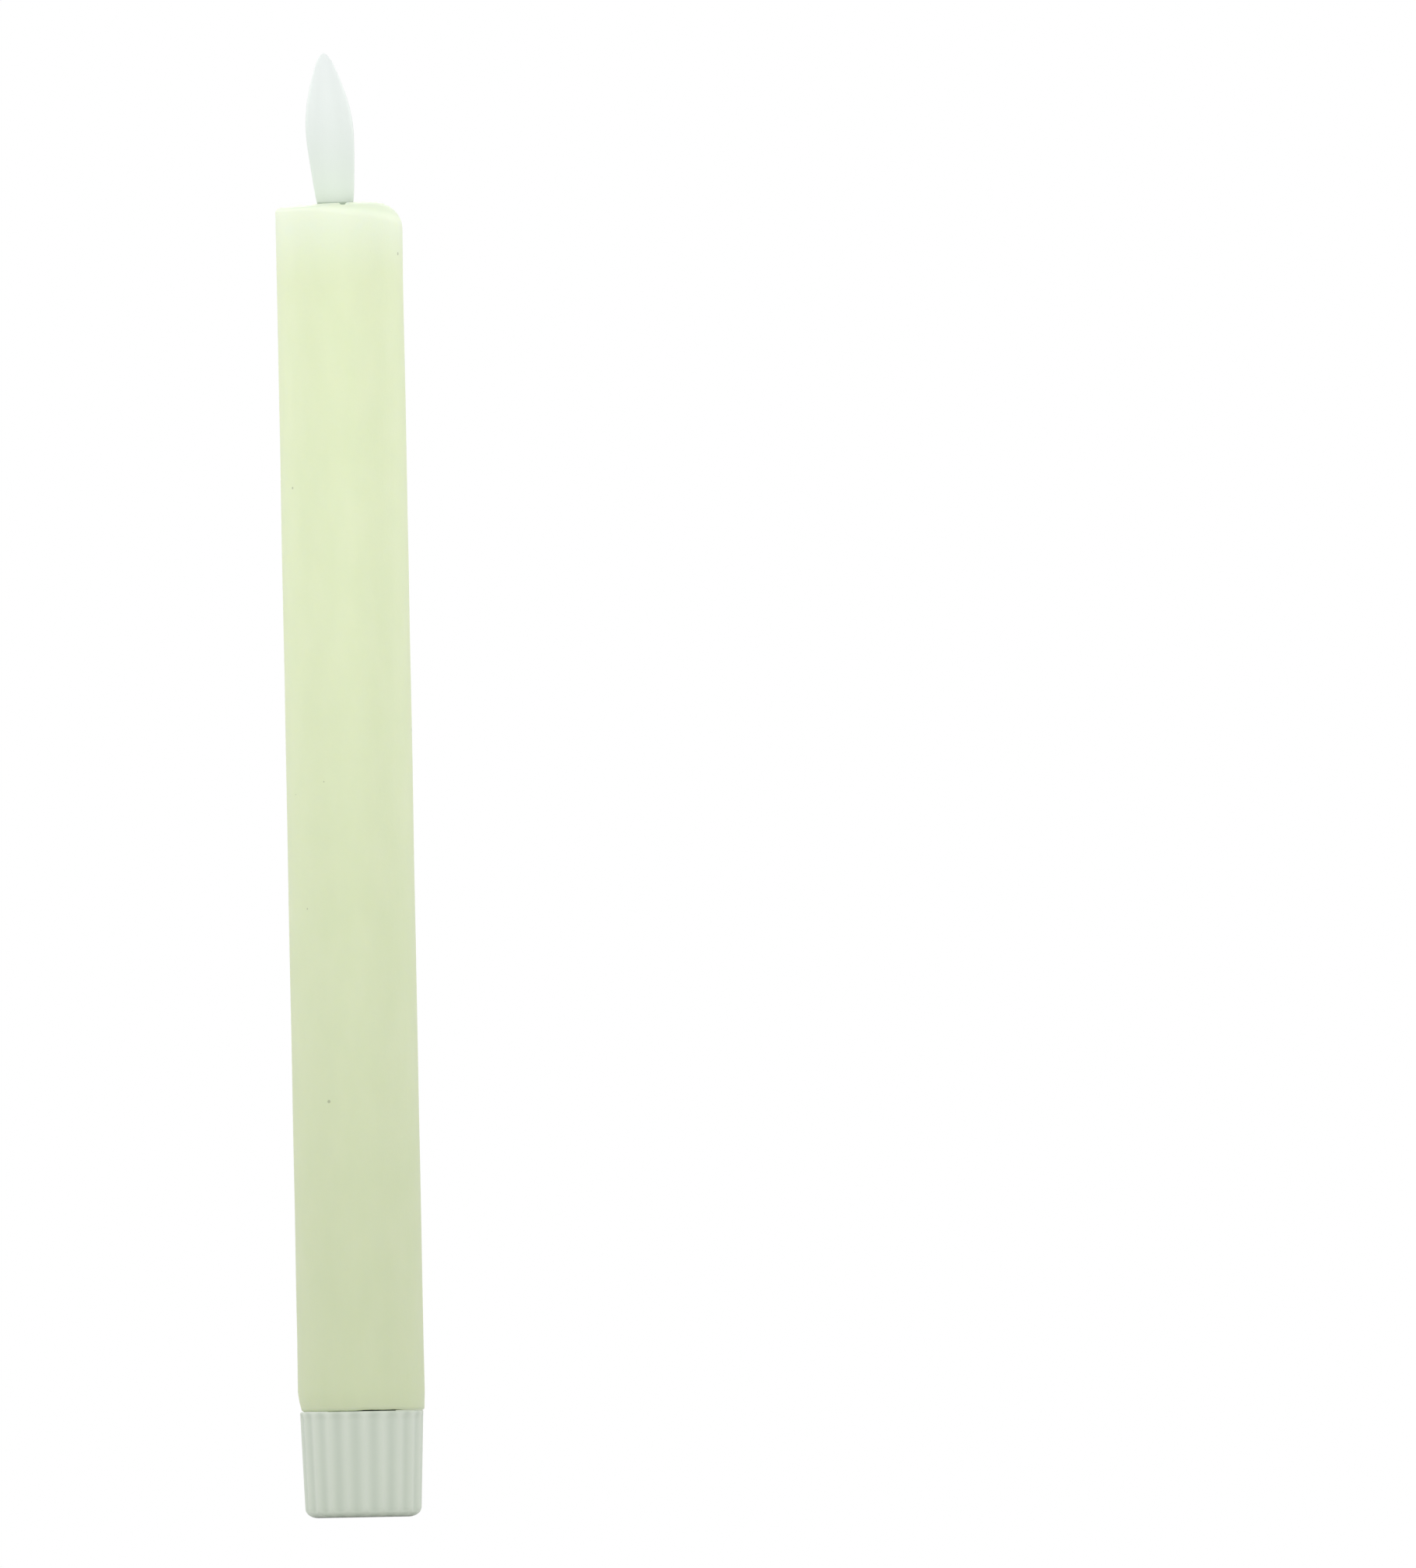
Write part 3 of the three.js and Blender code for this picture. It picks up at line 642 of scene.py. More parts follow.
def wire_finish(name, dark, pale):
    """Soft insulation with a faint extrusion grain."""
    wire = new_finish(name)
    grain = wire.clouds(0.5, 3, (1, 1, 0.2))
    return wire.surface(
        {
            "Base Color": wire.tint(grain, dark, pale),
            "Roughness": 0.4 + grain * 0.15,
            "Normal": wire.bump(grain, 0.03, 0.5),
        }
    )


def lens_finish():
    """Clear resin of the light, faintly warm from the chip's phosphor."""
    lens = new_finish("clear_lens")
    haze = lens.clouds(1.2, 3)
    return lens.surface(
        {
            "Base Color": lens.tint(haze, srgb(240, 232, 200), srgb(252, 248, 232)),
            "Roughness": 0.08 + haze * 0.06,
            "Transmission Weight": 0.55,
            "IOR": 1.5,
            "Normal": lens.bump(haze, 0.02, 0.3),
        }
    )


FINISHES = {
    "wax": wax_finish(),
    "ivory_plastic": cap_finish(),
    "grey_plastic": moulded("grey_plastic", srgb(176, 192, 187), srgb(198, 210, 205), 0.4),
    "white_plastic": moulded("white_plastic", srgb(216, 219, 212), srgb(232, 234, 228), 0.42),
    "black_plastic": moulded("black_plastic", srgb(22, 23, 25), srgb(42, 43, 45), 0.5),
    "flame_plastic": flame_finish(),
    "nickel": metal("nickel", srgb(150, 148, 138), srgb(226, 222, 206), 0.16, (1, 1, 0.15), 1.5),
    "steel": metal("steel", srgb(120, 124, 124), srgb(186, 190, 188), 0.22, (0.2, 0.2, 1)),
    "brass": metal("brass", srgb(150, 122, 62), srgb(214, 184, 112), 0.24, (1, 1, 0.2), 0.4),
    "copper": copper_finish(),
    "cell_jacket": jacket_finish(),
    "board": board_finish(),
    "resistor": moulded("resistor", srgb(34, 34, 38), srgb(62, 62, 66), 0.45),
    "capacitor": moulded("capacitor", srgb(30, 38, 62), srgb(52, 64, 96), 0.3),
    "clear_lens": lens_finish(),
    "red_wire": wire_finish("red_wire", srgb(150, 34, 30), srgb(186, 52, 44)),
    "black_wire": wire_finish("black_wire", srgb(24, 25, 28), srgb(48, 49, 52)),
}


def piece(name, shape, body, finish, node, sharp=40):
    """A finished piece on its body, in place of a CAD node. The shape is used up.

    Edges that turn by more than sharp degrees are shaded as edges.
    """
    thing = loose_object(moved_by(shape, Matrix.Scale(MM, 4)), name)
    thing.data.shade_smooth()
    thing.data.set_sharp_from_angle(angle=math.radians(sharp))
    thing.data.materials.append(FINISHES[finish])
    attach(thing, body)
    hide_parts(node)
    return thing


# ---- Wax coat --------------------------------------------------------------------------------

WAX_BORE_R = 7.6
WAX_STEP_R = 6.7
WAX_STEP_Z = 222.3
WAX_LEDGE_Z = 226.4
HOLE_R = 4.7
HOLE_HALF_DEPTH = 3.5  # the hole is an oval, like the flame
HOLE_X = -0.3  # its middle, under the leaf's
HOLE_ROUND = 0.5
FOOT_EDGE_IN = 0.3
FOOT_EDGE_UP = 0.2
SHOULDER = 3.0  # width and drop of the shoulder before it melts
LEFT_SHOULDER = (0.8, 0.6)  # width and drop where the top stayed sharp
RIGHT_SHOULDER = (4.9, 4.4)  # and where it slumped
PEAK_X = 2.3
FALL_LEFT = 0.0055  # how fast the top falls away from its peak, in each direction
FALL_RIGHT = 0.005
FALL_ACROSS = 0.004
CROWN_DROP = 0.06  # keeps the swells of the top below the wax's full height
CROWN_SWELL = 0.1
WALL_SWELL = 0.05
LIP_DROP = 0.12  # of the hole's front edge, left of LIP_END_X
LIP_END_X = 0.9
LIP_WIDTH = 1.6
CREASE_X = 0.75
CREASE_DEPTH = 0.7
CREASE_WIDTH = 0.42
CREASE_LENGTH = 6.4
CREASE_FADE = 3
FOOT_HEIGHT = 3.4  # of the stretch that draws in over the cap
FOOT_IN_LEFT = 0.7
FOOT_IN_RIGHT = 0.15
FOOT_SAG = 0.36
FOOT_SAG_HEIGHT = 2.5  # of the stretch that sags
FOOT_WAVE = 0.04
OPEN_SEAM_SAG = 0.22
OPEN_SEAM = (-98, -45)  # where the seam over the cap stays open, as angles from +X
SEAM_RAMP = 10  # degrees
BORE, WALL, CROWN, THROAT = range(4)  # the stretches of the outline, each reshaped its own way


def wax_outline(place):
    """The wax before it melts, and the stretch that each point belongs to."""
    radius = place.radius
    top = place.z1
    shoulder_z = top - SHOULDER
    side = column(radius, place.z0 + FOOT_EDGE_UP, place.z0 + FOOT_HEIGHT, 8)
    foot = [(radius - FOOT_EDGE_IN, place.z0), *side]
    wall = column(radius, place.z0 + FOOT_HEIGHT, shoulder_z, 70)[1:]
    shoulder = arc((radius - SHOULDER, shoulder_z), SHOULDER, SHOULDER, 0, 90, 14)[1:]
    rim = (HOLE_R + HOLE_ROUND, top)
    plain = tapered(shoulder[-1], rim, 8)
    edge = arc((HOLE_R + HOLE_ROUND, top - HOLE_ROUND), HOLE_ROUND, HOLE_ROUND, 90, 180, 4)[1:]
    inner = [
        (HOLE_R, WAX_LEDGE_Z),
        (WAX_STEP_R, WAX_LEDGE_Z),
        (WAX_STEP_R, WAX_STEP_Z),
        (WAX_BORE_R, WAX_STEP_Z),
        (WAX_BORE_R, place.z0),
    ]
    skin = foot + wall
    crown = shoulder + plain + edge
    kinds = [WALL] * len(skin) + [CROWN] * len(crown) + [THROAT] + [BORE] * 4
    return skin + crown + inner, kinds


def hole_radius(angle):
    """How far the oval hole's edge lies from the axis in that direction."""
    across = math.cos(angle) / HOLE_R
    along = math.sin(angle) / HOLE_HALF_DEPTH
    spread = across * across + along * along
    middle = HOLE_X / HOLE_R
    lean = across * middle
    return (lean + math.sqrt(lean * lean + spread * (1 - middle * middle))) / spread


def crown_height(x, y, top):
    """The slumped top before its shoulder: highest right of the middle."""
    left = max(0.0, PEAK_X - x)
    right = max(0.0, x - PEAK_X)
    fall = FALL_LEFT * left * left + FALL_RIGHT * right * right + FALL_ACROSS * y * y
    swell = CROWN_SWELL * ripple((x, y, 0), 5.0, seed=3.1)
    return top - fall - CROWN_DROP + swell


def hole_lip(x, y, angle):
    """How far the wax dips in front of the hole: a low edge that ends in a short crease."""
    beyond = math.hypot(x, y) - hole_radius(angle)
    front = ease((-y - 1.0) / 1.5)
    low_edge = LIP_DROP * ease((LIP_END_X - x) / 0.5) * ease(1 - beyond / LIP_WIDTH)
    across = math.exp(-(((x - CREASE_X) / CREASE_WIDTH) ** 2))
    crease = CREASE_DEPTH * across * ease((CREASE_LENGTH - beyond) / CREASE_FADE)
    return front * (low_edge + crease)


def shoulder_at(angle):
    """Width and drop of the melted shoulder in that direction."""
    slump = ((1 + math.cos(angle - 0.2)) / 2) ** 1.6
    return [mix(left, right, slump) for left, right in zip(LEFT_SHOULDER, RIGHT_SHOULDER)]


def melted_crown(point, radius, angle, place):
    """The top: its flat brought to the oval hole, and its shoulder slumped."""
    width, drop = shoulder_at(angle)
    full = place.radius
    flat = full - SHOULDER
    down = (place.z1 - point.z) / SHOULDER
    hole = hole_radius(angle)
    if radius > flat:
        radius = full - width * (full - radius) / SHOULDER
    else:
        radius = mix(hole, full - width, (radius - HOLE_R) / (flat - HOLE_R))
    moved = polar(radius, angle, 0)
    fall = drop * down if radius > full - width else SHOULDER * down
    moved.z = crown_height(moved.x, moved.y, place.z1) - fall - hole_lip(moved.x, moved.y, angle)
    return moved


def waved_wall(point, radius, angle, place):
    """The side: stretched up to the melted shoulder, very slightly uneven, sagging at the foot."""
    width, drop = shoulder_at(angle)
    edge = polar(place.radius, angle, 0)
    wall_top = crown_height(edge.x, edge.y, place.z1) - drop
    nominal = place.z1 - SHOULDER
    above_foot = point.z - place.z0
    share = above_foot / (nominal - place.z0)
    z = mix(place.z0, wall_top, share)
    calm = within(z, place.z0 + 4, wall_top, 8)
    uneven = WALL_SWELL * (1 + ripple((point.x, point.y, z * 0.5), 9.0, seed=1.7)) * calm
    seam = within(math.degrees(angle), *OPEN_SEAM, SEAM_RAMP)
    drape = mix(FOOT_SAG, OPEN_SEAM_SAG, seam) + FOOT_WAVE * ripple(point, 2.2, seed=5.0)
    sag = min(drape, FOOT_SAG) * ease(1 - above_foot / FOOT_SAG_HEIGHT)
    inwards = mix(FOOT_IN_LEFT, FOOT_IN_RIGHT, ease((1 + math.cos(angle)) / 2))
    drawn = inwards * clamp(1 - above_foot / FOOT_HEIGHT) ** 1.7
    return polar(radius - uneven - drawn, angle, z - sag)


def wax_coat():
    """The wax from foot to top, with the stepped bore that the tube and the cup fill."""
    place = Place("wax_sleeve")
    points, kinds = wax_outline(place)
    shape = chain(points)
    layer = shape.verts.layers.int.new("kind")
    for vert, kind in zip(shape.verts, kinds):
        vert[layer] = kind
    spin_about_z(shape, 192)
    for vert in shape.verts:
        radius = math.hypot(vert.co.x, vert.co.y)
        angle = math.atan2(vert.co.y, vert.co.x)
        if vert[layer] == WALL:
            vert.co = waved_wall(vert.co.copy(), radius, angle, place)
        elif vert[layer] == CROWN:
            vert.co = melted_crown(vert.co.copy(), radius, angle, place)
        elif vert[layer] == THROAT:
            vert.co = polar(hole_radius(angle), angle, vert.co.z)
    shape.verts.layers.int.remove(layer)
    bmesh.ops.recalc_face_normals(shape, faces=shape.faces[:])
    return piece("wax_coat", shape, "candle_body", "wax", "wax_sleeve", sharp=55)


# ---- Cap -------------------------------------------------------------------------------------

CAP_LOW_R = 10.1
FOOT_ROUND = 1.7
FOOT_ROUND_WIDTH = 2.3
RIB_DEPTH = 0.35
RIB_SHARPNESS = 0.65  # below 1 for ridges narrower than the flutes between them
RIM_ROUND = 0.25
CAP_WALL_R = 8.0
CAP_SEAT_R = 8.6
CAP_FLOOR = 2.0
CAP_FLOOR_BEVEL = 0.4
CAP_SEAT_BEVEL = 0.1
PLATE_BEVEL = 0.15
BOSS_ROOT_R = 5.2
BOSS_SHOULDER_R = 5.9
BOSS_SHOULDER = 0.8
SLOT_WIDTH = 2.55
SLOT_FLOOR_R = 4.55
STRIP_HALF_WIDTH = 1.15
STRIP_THICKNESS = 0.25
STRIP_BEND = 0.5
PAD_R = 2.2
PAD_DIMPLE = 0.06  # in the pad's middle, where the spring stands


def ribbed_cap():
    """The cap: a cup that widens upwards, with ribs from its round foot to its rim."""
    place = Place("cap_shell")
    plate = Place("thread_plug")
    rim_r = place.radius
    ribs_end = place.z1 - RIM_ROUND
    seat_z = plate.z0 - 0.1
    rounding = arc((CAP_LOW_R - FOOT_ROUND_WIDTH, FOOT_ROUND), FOOT_ROUND_WIDTH, FOOT_ROUND, -90, 0, 12)
    rim_round = arc((rim_r - RIM_ROUND, ribs_end), RIM_ROUND, RIM_ROUND, 0, 90, 4)
    outline = [
        (0, 0),
        *rounding,
        *tapered((CAP_LOW_R, FOOT_ROUND), (rim_r, ribs_end), 38),
        *rim_round[1:],
        (CAP_SEAT_R + CAP_SEAT_BEVEL, place.z1),
        (CAP_SEAT_R, place.z1 - CAP_SEAT_BEVEL),
        (CAP_SEAT_R, seat_z),
        (CAP_WALL_R, seat_z),
        (CAP_WALL_R, CAP_FLOOR + CAP_FLOOR_BEVEL),
        (CAP_WALL_R - CAP_FLOOR_BEVEL, CAP_FLOOR),
        (0, CAP_FLOOR),
    ]

    def flute(point, radius, angle):
        across = (1 - math.cos(RIB_COUNT * (angle - RIB_TURN))) / 2
        length = within(point.z, FOOT_ROUND * 0.3, ribs_end, 0.8)
        depth = clamp(across ** RIB_SHARPNESS + ease(length) - 1) * RIB_DEPTH
        outer = radius > CAP_SEAT_R + 0.3 and point.z < ribs_end
        return polar(radius - (depth if outer else 0), angle, point.z)

    shape = reshape(turned(outline, RIB_COUNT * 14), flute)
    return piece("ribbed_cap", shape, "cap", "ivory_plastic", "cap_shell")


def screw_boss():
    """The plate in the cap's mouth, and the slotted boss with its thread."""
    place = Place("thread_plug")
    strip = Place("cap_contact")
    shell = Place("cap_shell")
    plate_r = place.radius
    shoulder_z = shell.z1 + BOSS_SHOULDER
    threaded_top = place.z1 - PLATE_BEVEL
    outline = [
        (0, place.z0),
        (plate_r - PLATE_BEVEL, place.z0),
        (plate_r, place.z0 + PLATE_BEVEL),
        (plate_r, shell.z1 - PLATE_BEVEL),
        (plate_r - PLATE_BEVEL, shell.z1),
        (BOSS_SHOULDER_R, shell.z1),
        (BOSS_SHOULDER_R, shell.z1 + BOSS_SHOULDER * 0.6),
        *column(BOSS_ROOT_R, shoulder_z, threaded_top, 44),
        (BOSS_ROOT_R - PLATE_BEVEL, place.z1),
        (0, place.z1),
    ]

    def wind(point, radius, angle):
        if abs(radius - BOSS_ROOT_R) > 0.01:
            return point
        fade = within(point.z, shoulder_z, threaded_top, THREAD_FADE)
        return polar(radius + THREAD_DEPTH * fade * thread_form(point.z, angle), angle, point.z)

    boss = reshape(turned(outline, 128), wind)
    half = SLOT_WIDTH / 2
    slot_bottom = strip.z0 - 0.35
    slot = block((-half, -BOSS_SHOULDER_R - 1, slot_bottom), (half, -SLOT_FLOOR_R, place.z1 + 1))
    return piece("screw_boss", carved(boss, slot), "cap", "grey_plastic", "thread_plug", sharp=32)


def contact_strip():
    """The bent strip in the boss's slot, with the spring's pad."""
    place = Place("cap_contact")
    outer_y = -place.y0
    inner_bend = STRIP_BEND - STRIP_THICKNESS
    elbow = (outer_y - STRIP_BEND, place.z1 - STRIP_BEND)
    profile = [
        (0, place.z1),
        *arc(elbow, STRIP_BEND, STRIP_BEND, 90, 0, 8),
        (outer_y, place.z0),
        (outer_y - STRIP_THICKNESS, place.z0),
        *arc(elbow, inner_bend, inner_bend, 0, 90, 6),
        (0, place.z1 - STRIP_THICKNESS),
    ]
    side = [(-STRIP_HALF_WIDTH, -y, z) for y, z in profile]
    leg = prism(side, (2 * STRIP_HALF_WIDTH, 0, 0), 0.05)
    pad_outline = [
        (0, place.z1 - STRIP_THICKNESS),
        (PAD_R - 0.06, place.z1 - STRIP_THICKNESS),
        *arc((PAD_R - 0.08, place.z1 - STRIP_THICKNESS / 2), 0.08, 0.1, -70, 70, 4),
        (1.2, place.z1),
        (0.95, place.z1 - PAD_DIMPLE),
        (0, place.z1 - PAD_DIMPLE),
    ]
    pad = turned(pad_outline, 64)
    return piece("contact_strip", together(leg, pad), "cap", "nickel", "cap_contact")


def coil_spring():
    """The battery spring between the cap's pad and the lower cell, its end turns closed."""
    place = Place("battery_spring")
    wire_r = 0.2
    middle_r = 1.58
    steps_a_turn = 48
    open_turns = 3.25
    closed_rise = 0.42  # of the one closed turn at each end
    open_rise = place.height - 2 * wire_r - 2 * closed_rise
    shape = bmesh.new()
    lay = Matrix.Translation((middle_r, 0, place.z0 + wire_r)) @ Matrix.Rotation(math.pi / 2, 4, "X")
    bmesh.ops.create_circle(shape, cap_ends=False, segments=14, radius=wire_r, matrix=lay)
    last = shape.verts[:] + shape.edges[:]
    for turns, rise in ((1, closed_rise), (open_turns, open_rise), (1, closed_rise)):
        steps = round(turns * steps_a_turn)
        swept = bmesh.ops.spin(
            shape,
            geom=last,
            cent=(0, 0, 0),
            axis=(0, 0, 1),
            dvec=(0, 0, rise / steps),
            angle=2 * math.pi * turns,
            steps=steps,
            use_merge=False,
        )
        last = swept["geom_last"]
    rims = [edge for edge in shape.edges if edge.is_boundary]
    bmesh.ops.holes_fill(shape, edges=rims, sides=0)
    bmesh.ops.recalc_face_normals(shape, faces=shape.faces[:])
    return piece("coil_spring", shape, "cell_stack", "steel", "battery_spring")


# ---- Cells and the mouth of the candle -------------------------------------------------------

NUB_R = 2.75
NUB_HEIGHT = 1.2
NUB_ROUND = 0.35
FILM = 0.12  # thickness of a cell's sleeve
FILM_ROLL = 0.35  # radius of the sleeve's rolled ends
FILM_LIP = 0.9  # how far the rolled ends reach inwards
CAN_GAP = 0.04  # between a can and its sleeve
CAN_GROOVE = 0.25  # depth of the groove round a cell's flat end
TUBE_BORE_R = 6.65
COLLAR_ROOT_R = 5.75
COLLAR_BEVEL = 0.1


def cell(node, name):
    """One cell: a film sleeve rolled over the shoulders, and the metal ends."""
    place = Place(node)
    radius = place.radius
    can_top = place.z1 - NUB_HEIGHT
    film_bottom = place.z0 + FILM
    film_top = can_top - 0.02
    inner = radius - FILM
    sleeve = [
        (radius - FILM_LIP, film_bottom),
        (radius - FILM_ROLL, film_bottom),
        *arc((radius - FILM_ROLL, film_bottom + FILM_ROLL), FILM_ROLL, FILM_ROLL, -90, 0, 5)[1:],
        *arc((radius - FILM_ROLL, film_top - FILM_ROLL), FILM_ROLL, FILM_ROLL, 0, 90, 5),
        (radius - FILM_LIP, film_top),
        (radius - FILM_LIP, film_top - 0.1),
        (inner - FILM_ROLL, film_top - FILM),
        (inner, film_top - FILM - FILM_ROLL),
        (inner, film_bottom + FILM + FILM_ROLL),
        (inner - FILM_ROLL, film_bottom + FILM),
        (radius - FILM_LIP, film_bottom + FILM),
    ]
    can_r = inner - CAN_GAP
    can_rim = can_top - FILM - CAN_GAP
    can = [
        (0, place.z0),
        (radius - 1.5, place.z0),
        (radius - 1.2, place.z0 + CAN_GROOVE),
        (radius - 0.5, place.z0 + CAN_GROOVE),
        (can_r, place.z0 + CAN_GROOVE + 0.4),
        (can_r, can_top - 0.55),
        (radius - 0.5, can_rim),
        (NUB_R + 0.8, can_rim),
        (NUB_R + 0.3, can_top - 0.35),
        (NUB_R, can_top - 0.3),
        (NUB_R, place.z1 - NUB_ROUND),
        *arc((NUB_R - NUB_ROUND, place.z1 - NUB_ROUND), NUB_ROUND, NUB_ROUND, 0, 90, 4)[1:],
        (0, place.z1),
    ]
    piece(name + "_jacket", turned(sleeve, 72), "cell_stack", "cell_jacket", node)
    piece(name + "_can", turned(can, 72), "cell_stack", "nickel", node)


def inner_tube():
    """The tube that carries the wax."""
    place = Place("core_tube")
    outline = tube(TUBE_BORE_R, place.radius, place.z0, place.z1, 0.12)
    return piece("inner_tube", turned(outline, 96), "candle_body", "white_plastic", "core_tube")


def brass_collar():
    """The collar with the inside thread, in the tube's lower end."""
    place = Place("threaded_collar")
    threaded_bottom = place.z0 + COLLAR_BEVEL
    outline = [
        (place.radius, threaded_bottom),
        (place.radius, place.z1),
        *reversed(column(COLLAR_ROOT_R, threaded_bottom, place.z1, 32)),
        (COLLAR_ROOT_R + COLLAR_BEVEL, place.z0),
        (place.radius - COLLAR_BEVEL, place.z0),
    ]

    def wind(point, radius, angle):
        if abs(radius - COLLAR_ROOT_R) > 0.01:
            return point
        fade = within(point.z, threaded_bottom, place.z1, THREAD_FADE)
        ridge = 1 - thread_form(point.z, angle)
        return polar(radius - THREAD_DEPTH * fade * ridge, angle, point.z)

    shape = reshape(turned(outline, 128), wind)
    return piece("brass_collar", shape, "candle_body", "brass", "threaded_collar", sharp=32)


# ---- Flame and what holds it -----------------------------------------------------------------

PIVOT_Z = Place("pivot_wire").centre.z
FLAME_LEAN = math.radians(3.5)
FLAME_MOUTH_Z = 2.2  # from the pivot, as the stem's heights are
FLAME_FLATNESS = 0.58
FLAME_WALL = 0.5
MOULD_LINE = 0.006
FLAME_SHIFT = -0.3  # the leaf is glued a little off the middle of its stem
STEM_BOTTOM = -5.0
STEM_HALF = 0.7
STEM_FOOT_R = 1.5
EYE_R = 1.6
EYE_HOLE_R = 0.45
MAGNET_R = 2.2
MAGNET_HEIGHT = 5.4
SOCKET_BORE_R = 5.7
SOCKET_HUB_R = 1.3
SOCKET_FLOOR = 1.2
SOCKET_FILLET = 0.4
SOCKET_BEVEL = 0.1
WIRE_SLOT_HALF = 0.35
LEAD_HOLE_Y = (3.25, 4.85)
LIGHT_HEIGHT = 5.1  # of its lens with the flange
FLANGE_R = 1.5
FLANGE = 0.5
LENS_R = 1.38
LEG_X = 0.9
LEG_HALF = 0.2
COIL_BORE_R = 1.42


def on_pivot(shape, shift=0.0):
    """Brings a shape made about the pivot to where the flame rests."""
    lean = Matrix.Rotation(-FLAME_LEAN, 4, "Y")
    lift = Matrix.Translation((0, 0, PIVOT_Z))
    return moved_by(shape, lift @ lean @ Matrix.Translation((shift, 0, 0)))


def flame_outline(tip, inset):
    """Half widths of the leaf from its mouth to its tip."""
    points = [
        (2.3, FLAME_MOUTH_Z),
        (3.15, 4.1),
        (3.68, 9),
        (4.13, 15.5),
        (3.9, tip - 10.5),
        (3.15, tip - 6.9),
        (1.8, tip - 2.6),
        (0.8, tip - 0.7),
        (0, tip),
    ]
    return [(max(radius - inset, 0.0), z) for radius, z in smooth_through(points, 5)]


def flame_leaf():
    """A thin hollow leaf, open at its mouth, with a faint mould line along both edges."""
    tip = (Place("flame_shell").z1 - PIVOT_Z) / math.cos(FLAME_LEAN)
    outer = flame_outline(tip, 0.0)
    inner = [point for point in flame_outline(tip, FLAME_WALL) if point[0] > 0.3]
    outline = outer + [(0, inner[-1][1] + 0.2)] + list(reversed(inner))

    def flatten(point, radius, angle):
        line = MOULD_LINE * math.exp(-((math.sin(angle) / 0.05) ** 2)) * clamp(radius)
        return Vector((point.x * (1 + line), point.y * FLAME_FLATNESS, point.z))

    shape = on_pivot(reshape(turned(outline, 96), flatten), FLAME_SHIFT)
    return piece("flame_leaf", shape, "flame", "flame_plastic", "flame_shell", sharp=60)


def swing_stem():
    """The flat stem: a plug in the leaf, an eye on the wire and a foot for the magnet."""
    eye = tube(EYE_HOLE_R, EYE_R, -STEM_HALF, STEM_HALF, 0.12)
    foot = [
        (0, STEM_BOTTOM),
        (STEM_FOOT_R - 0.1, STEM_BOTTOM),
        (STEM_FOOT_R, STEM_BOTTOM + 0.1),
        (STEM_FOOT_R, STEM_BOTTOM + 0.5),
        (STEM_FOOT_R - 0.1, STEM_BOTTOM + 0.6),
        (0, STEM_BOTTOM + 0.6),
    ]
    shape = together(
        along_y(turned(eye, 48)),
        turned(foot, 40),
        block((-1.1, -STEM_HALF, STEM_BOTTOM + 0.3), (1.1, STEM_HALF, -1.2), 0.15),
        block((-1.1, -STEM_HALF, 1.2), (1.1, STEM_HALF, FLAME_MOUTH_Z - 0.3), 0.15),
        block((-1.2, -0.45, 1.0), (1.2, 0.45, FLAME_MOUTH_Z + 2.2), 0.12),
    )
    return piece("swing_stem", on_pivot(shape), "flame", "white_plastic", "flame_stem")


def drive_magnet():
    """The magnet under the stem's foot, which the coil pushes."""
    top = STEM_BOTTOM - 0.3
    shape = on_pivot(turned(rod(MAGNET_R, top - MAGNET_HEIGHT, top, 0.25), 56))
    return piece("drive_magnet", shape, "flame", "nickel", "magnet")


def hanging_wire():
    """The wire that the flame's stem hangs and swings on."""
    place = Place("pivot_wire")
    outline = rod(place.height / 2, -place.y1, place.y1, 0.1)
    shape = shifted(along_y(turned(outline, 24)), z=PIVOT_Z)
    return piece("hanging_wire", shape, "candle_body", "steel", "pivot_wire")


def socket_cup():
    """The cup under the wax: slots for the wire, and holes in its floor for legs and leads."""
    place = Place("flame_socket")
    radius = place.radius
    floor_z = place.z0 + SOCKET_FLOOR
    outline = [
        (SOCKET_HUB_R, place.z0),
        (radius - SOCKET_BEVEL, place.z0),
        (radius, place.z0 + SOCKET_BEVEL),
        (radius, place.z1 - SOCKET_BEVEL),
        (radius - SOCKET_BEVEL, place.z1),
        (SOCKET_BORE_R + SOCKET_BEVEL, place.z1),
        (SOCKET_BORE_R, place.z1 - SOCKET_BEVEL),
        (SOCKET_BORE_R, floor_z + SOCKET_FILLET),
        (SOCKET_BORE_R - SOCKET_FILLET, floor_z),
        (SOCKET_HUB_R, floor_z),
    ]
    half = WIRE_SLOT_HALF
    near, far = LEAD_HOLE_Y
    slot = block((-half, -radius - 1, PIVOT_Z - half), (half, radius + 1, place.z1 + 1))
    leg_hole = block((-1.6, near, place.z0 - 1), (1.6, far, floor_z + 1))
    coil_hole = block((-1.9, -far, place.z0 - 1), (1.9, -near, floor_z + 1))
    shape = carved(turned(outline, 96), slot, leg_hole, coil_hole)
    return piece("socket_cup", shape, "candle_body", "white_plastic", "flame_socket")


def light():
    """The small light beside the flame's stem: a domed lens with a flange, on two square legs."""
    place = Place("led")
    y = place.centre.y
    base = place.z1 - LIGHT_HEIGHT
    lens = [
        (0, 0),
        (FLANGE_R - 0.1, 0),
        (FLANGE_R, 0.1),
        (FLANGE_R, FLANGE),
        (LENS_R, FLANGE + 0.08),
        *arc((0, LIGHT_HEIGHT - LENS_R), LENS_R, LENS_R, 0, 90, 10),
    ]
    legs = []
    for x in (-LEG_X, LEG_X):
        low = (x - LEG_HALF, y - LEG_HALF, place.z0)
        high = (x + LEG_HALF, y + LEG_HALF, base + 0.4)
        legs.append(block(low, high, 0.04))
    bulb = shifted(turned(lens, 48), y=y, z=base)
    piece("light_lens", bulb, "candle_body", "clear_lens", "led")
    piece("light_legs", together(*legs), "candle_body", "nickel", "led")


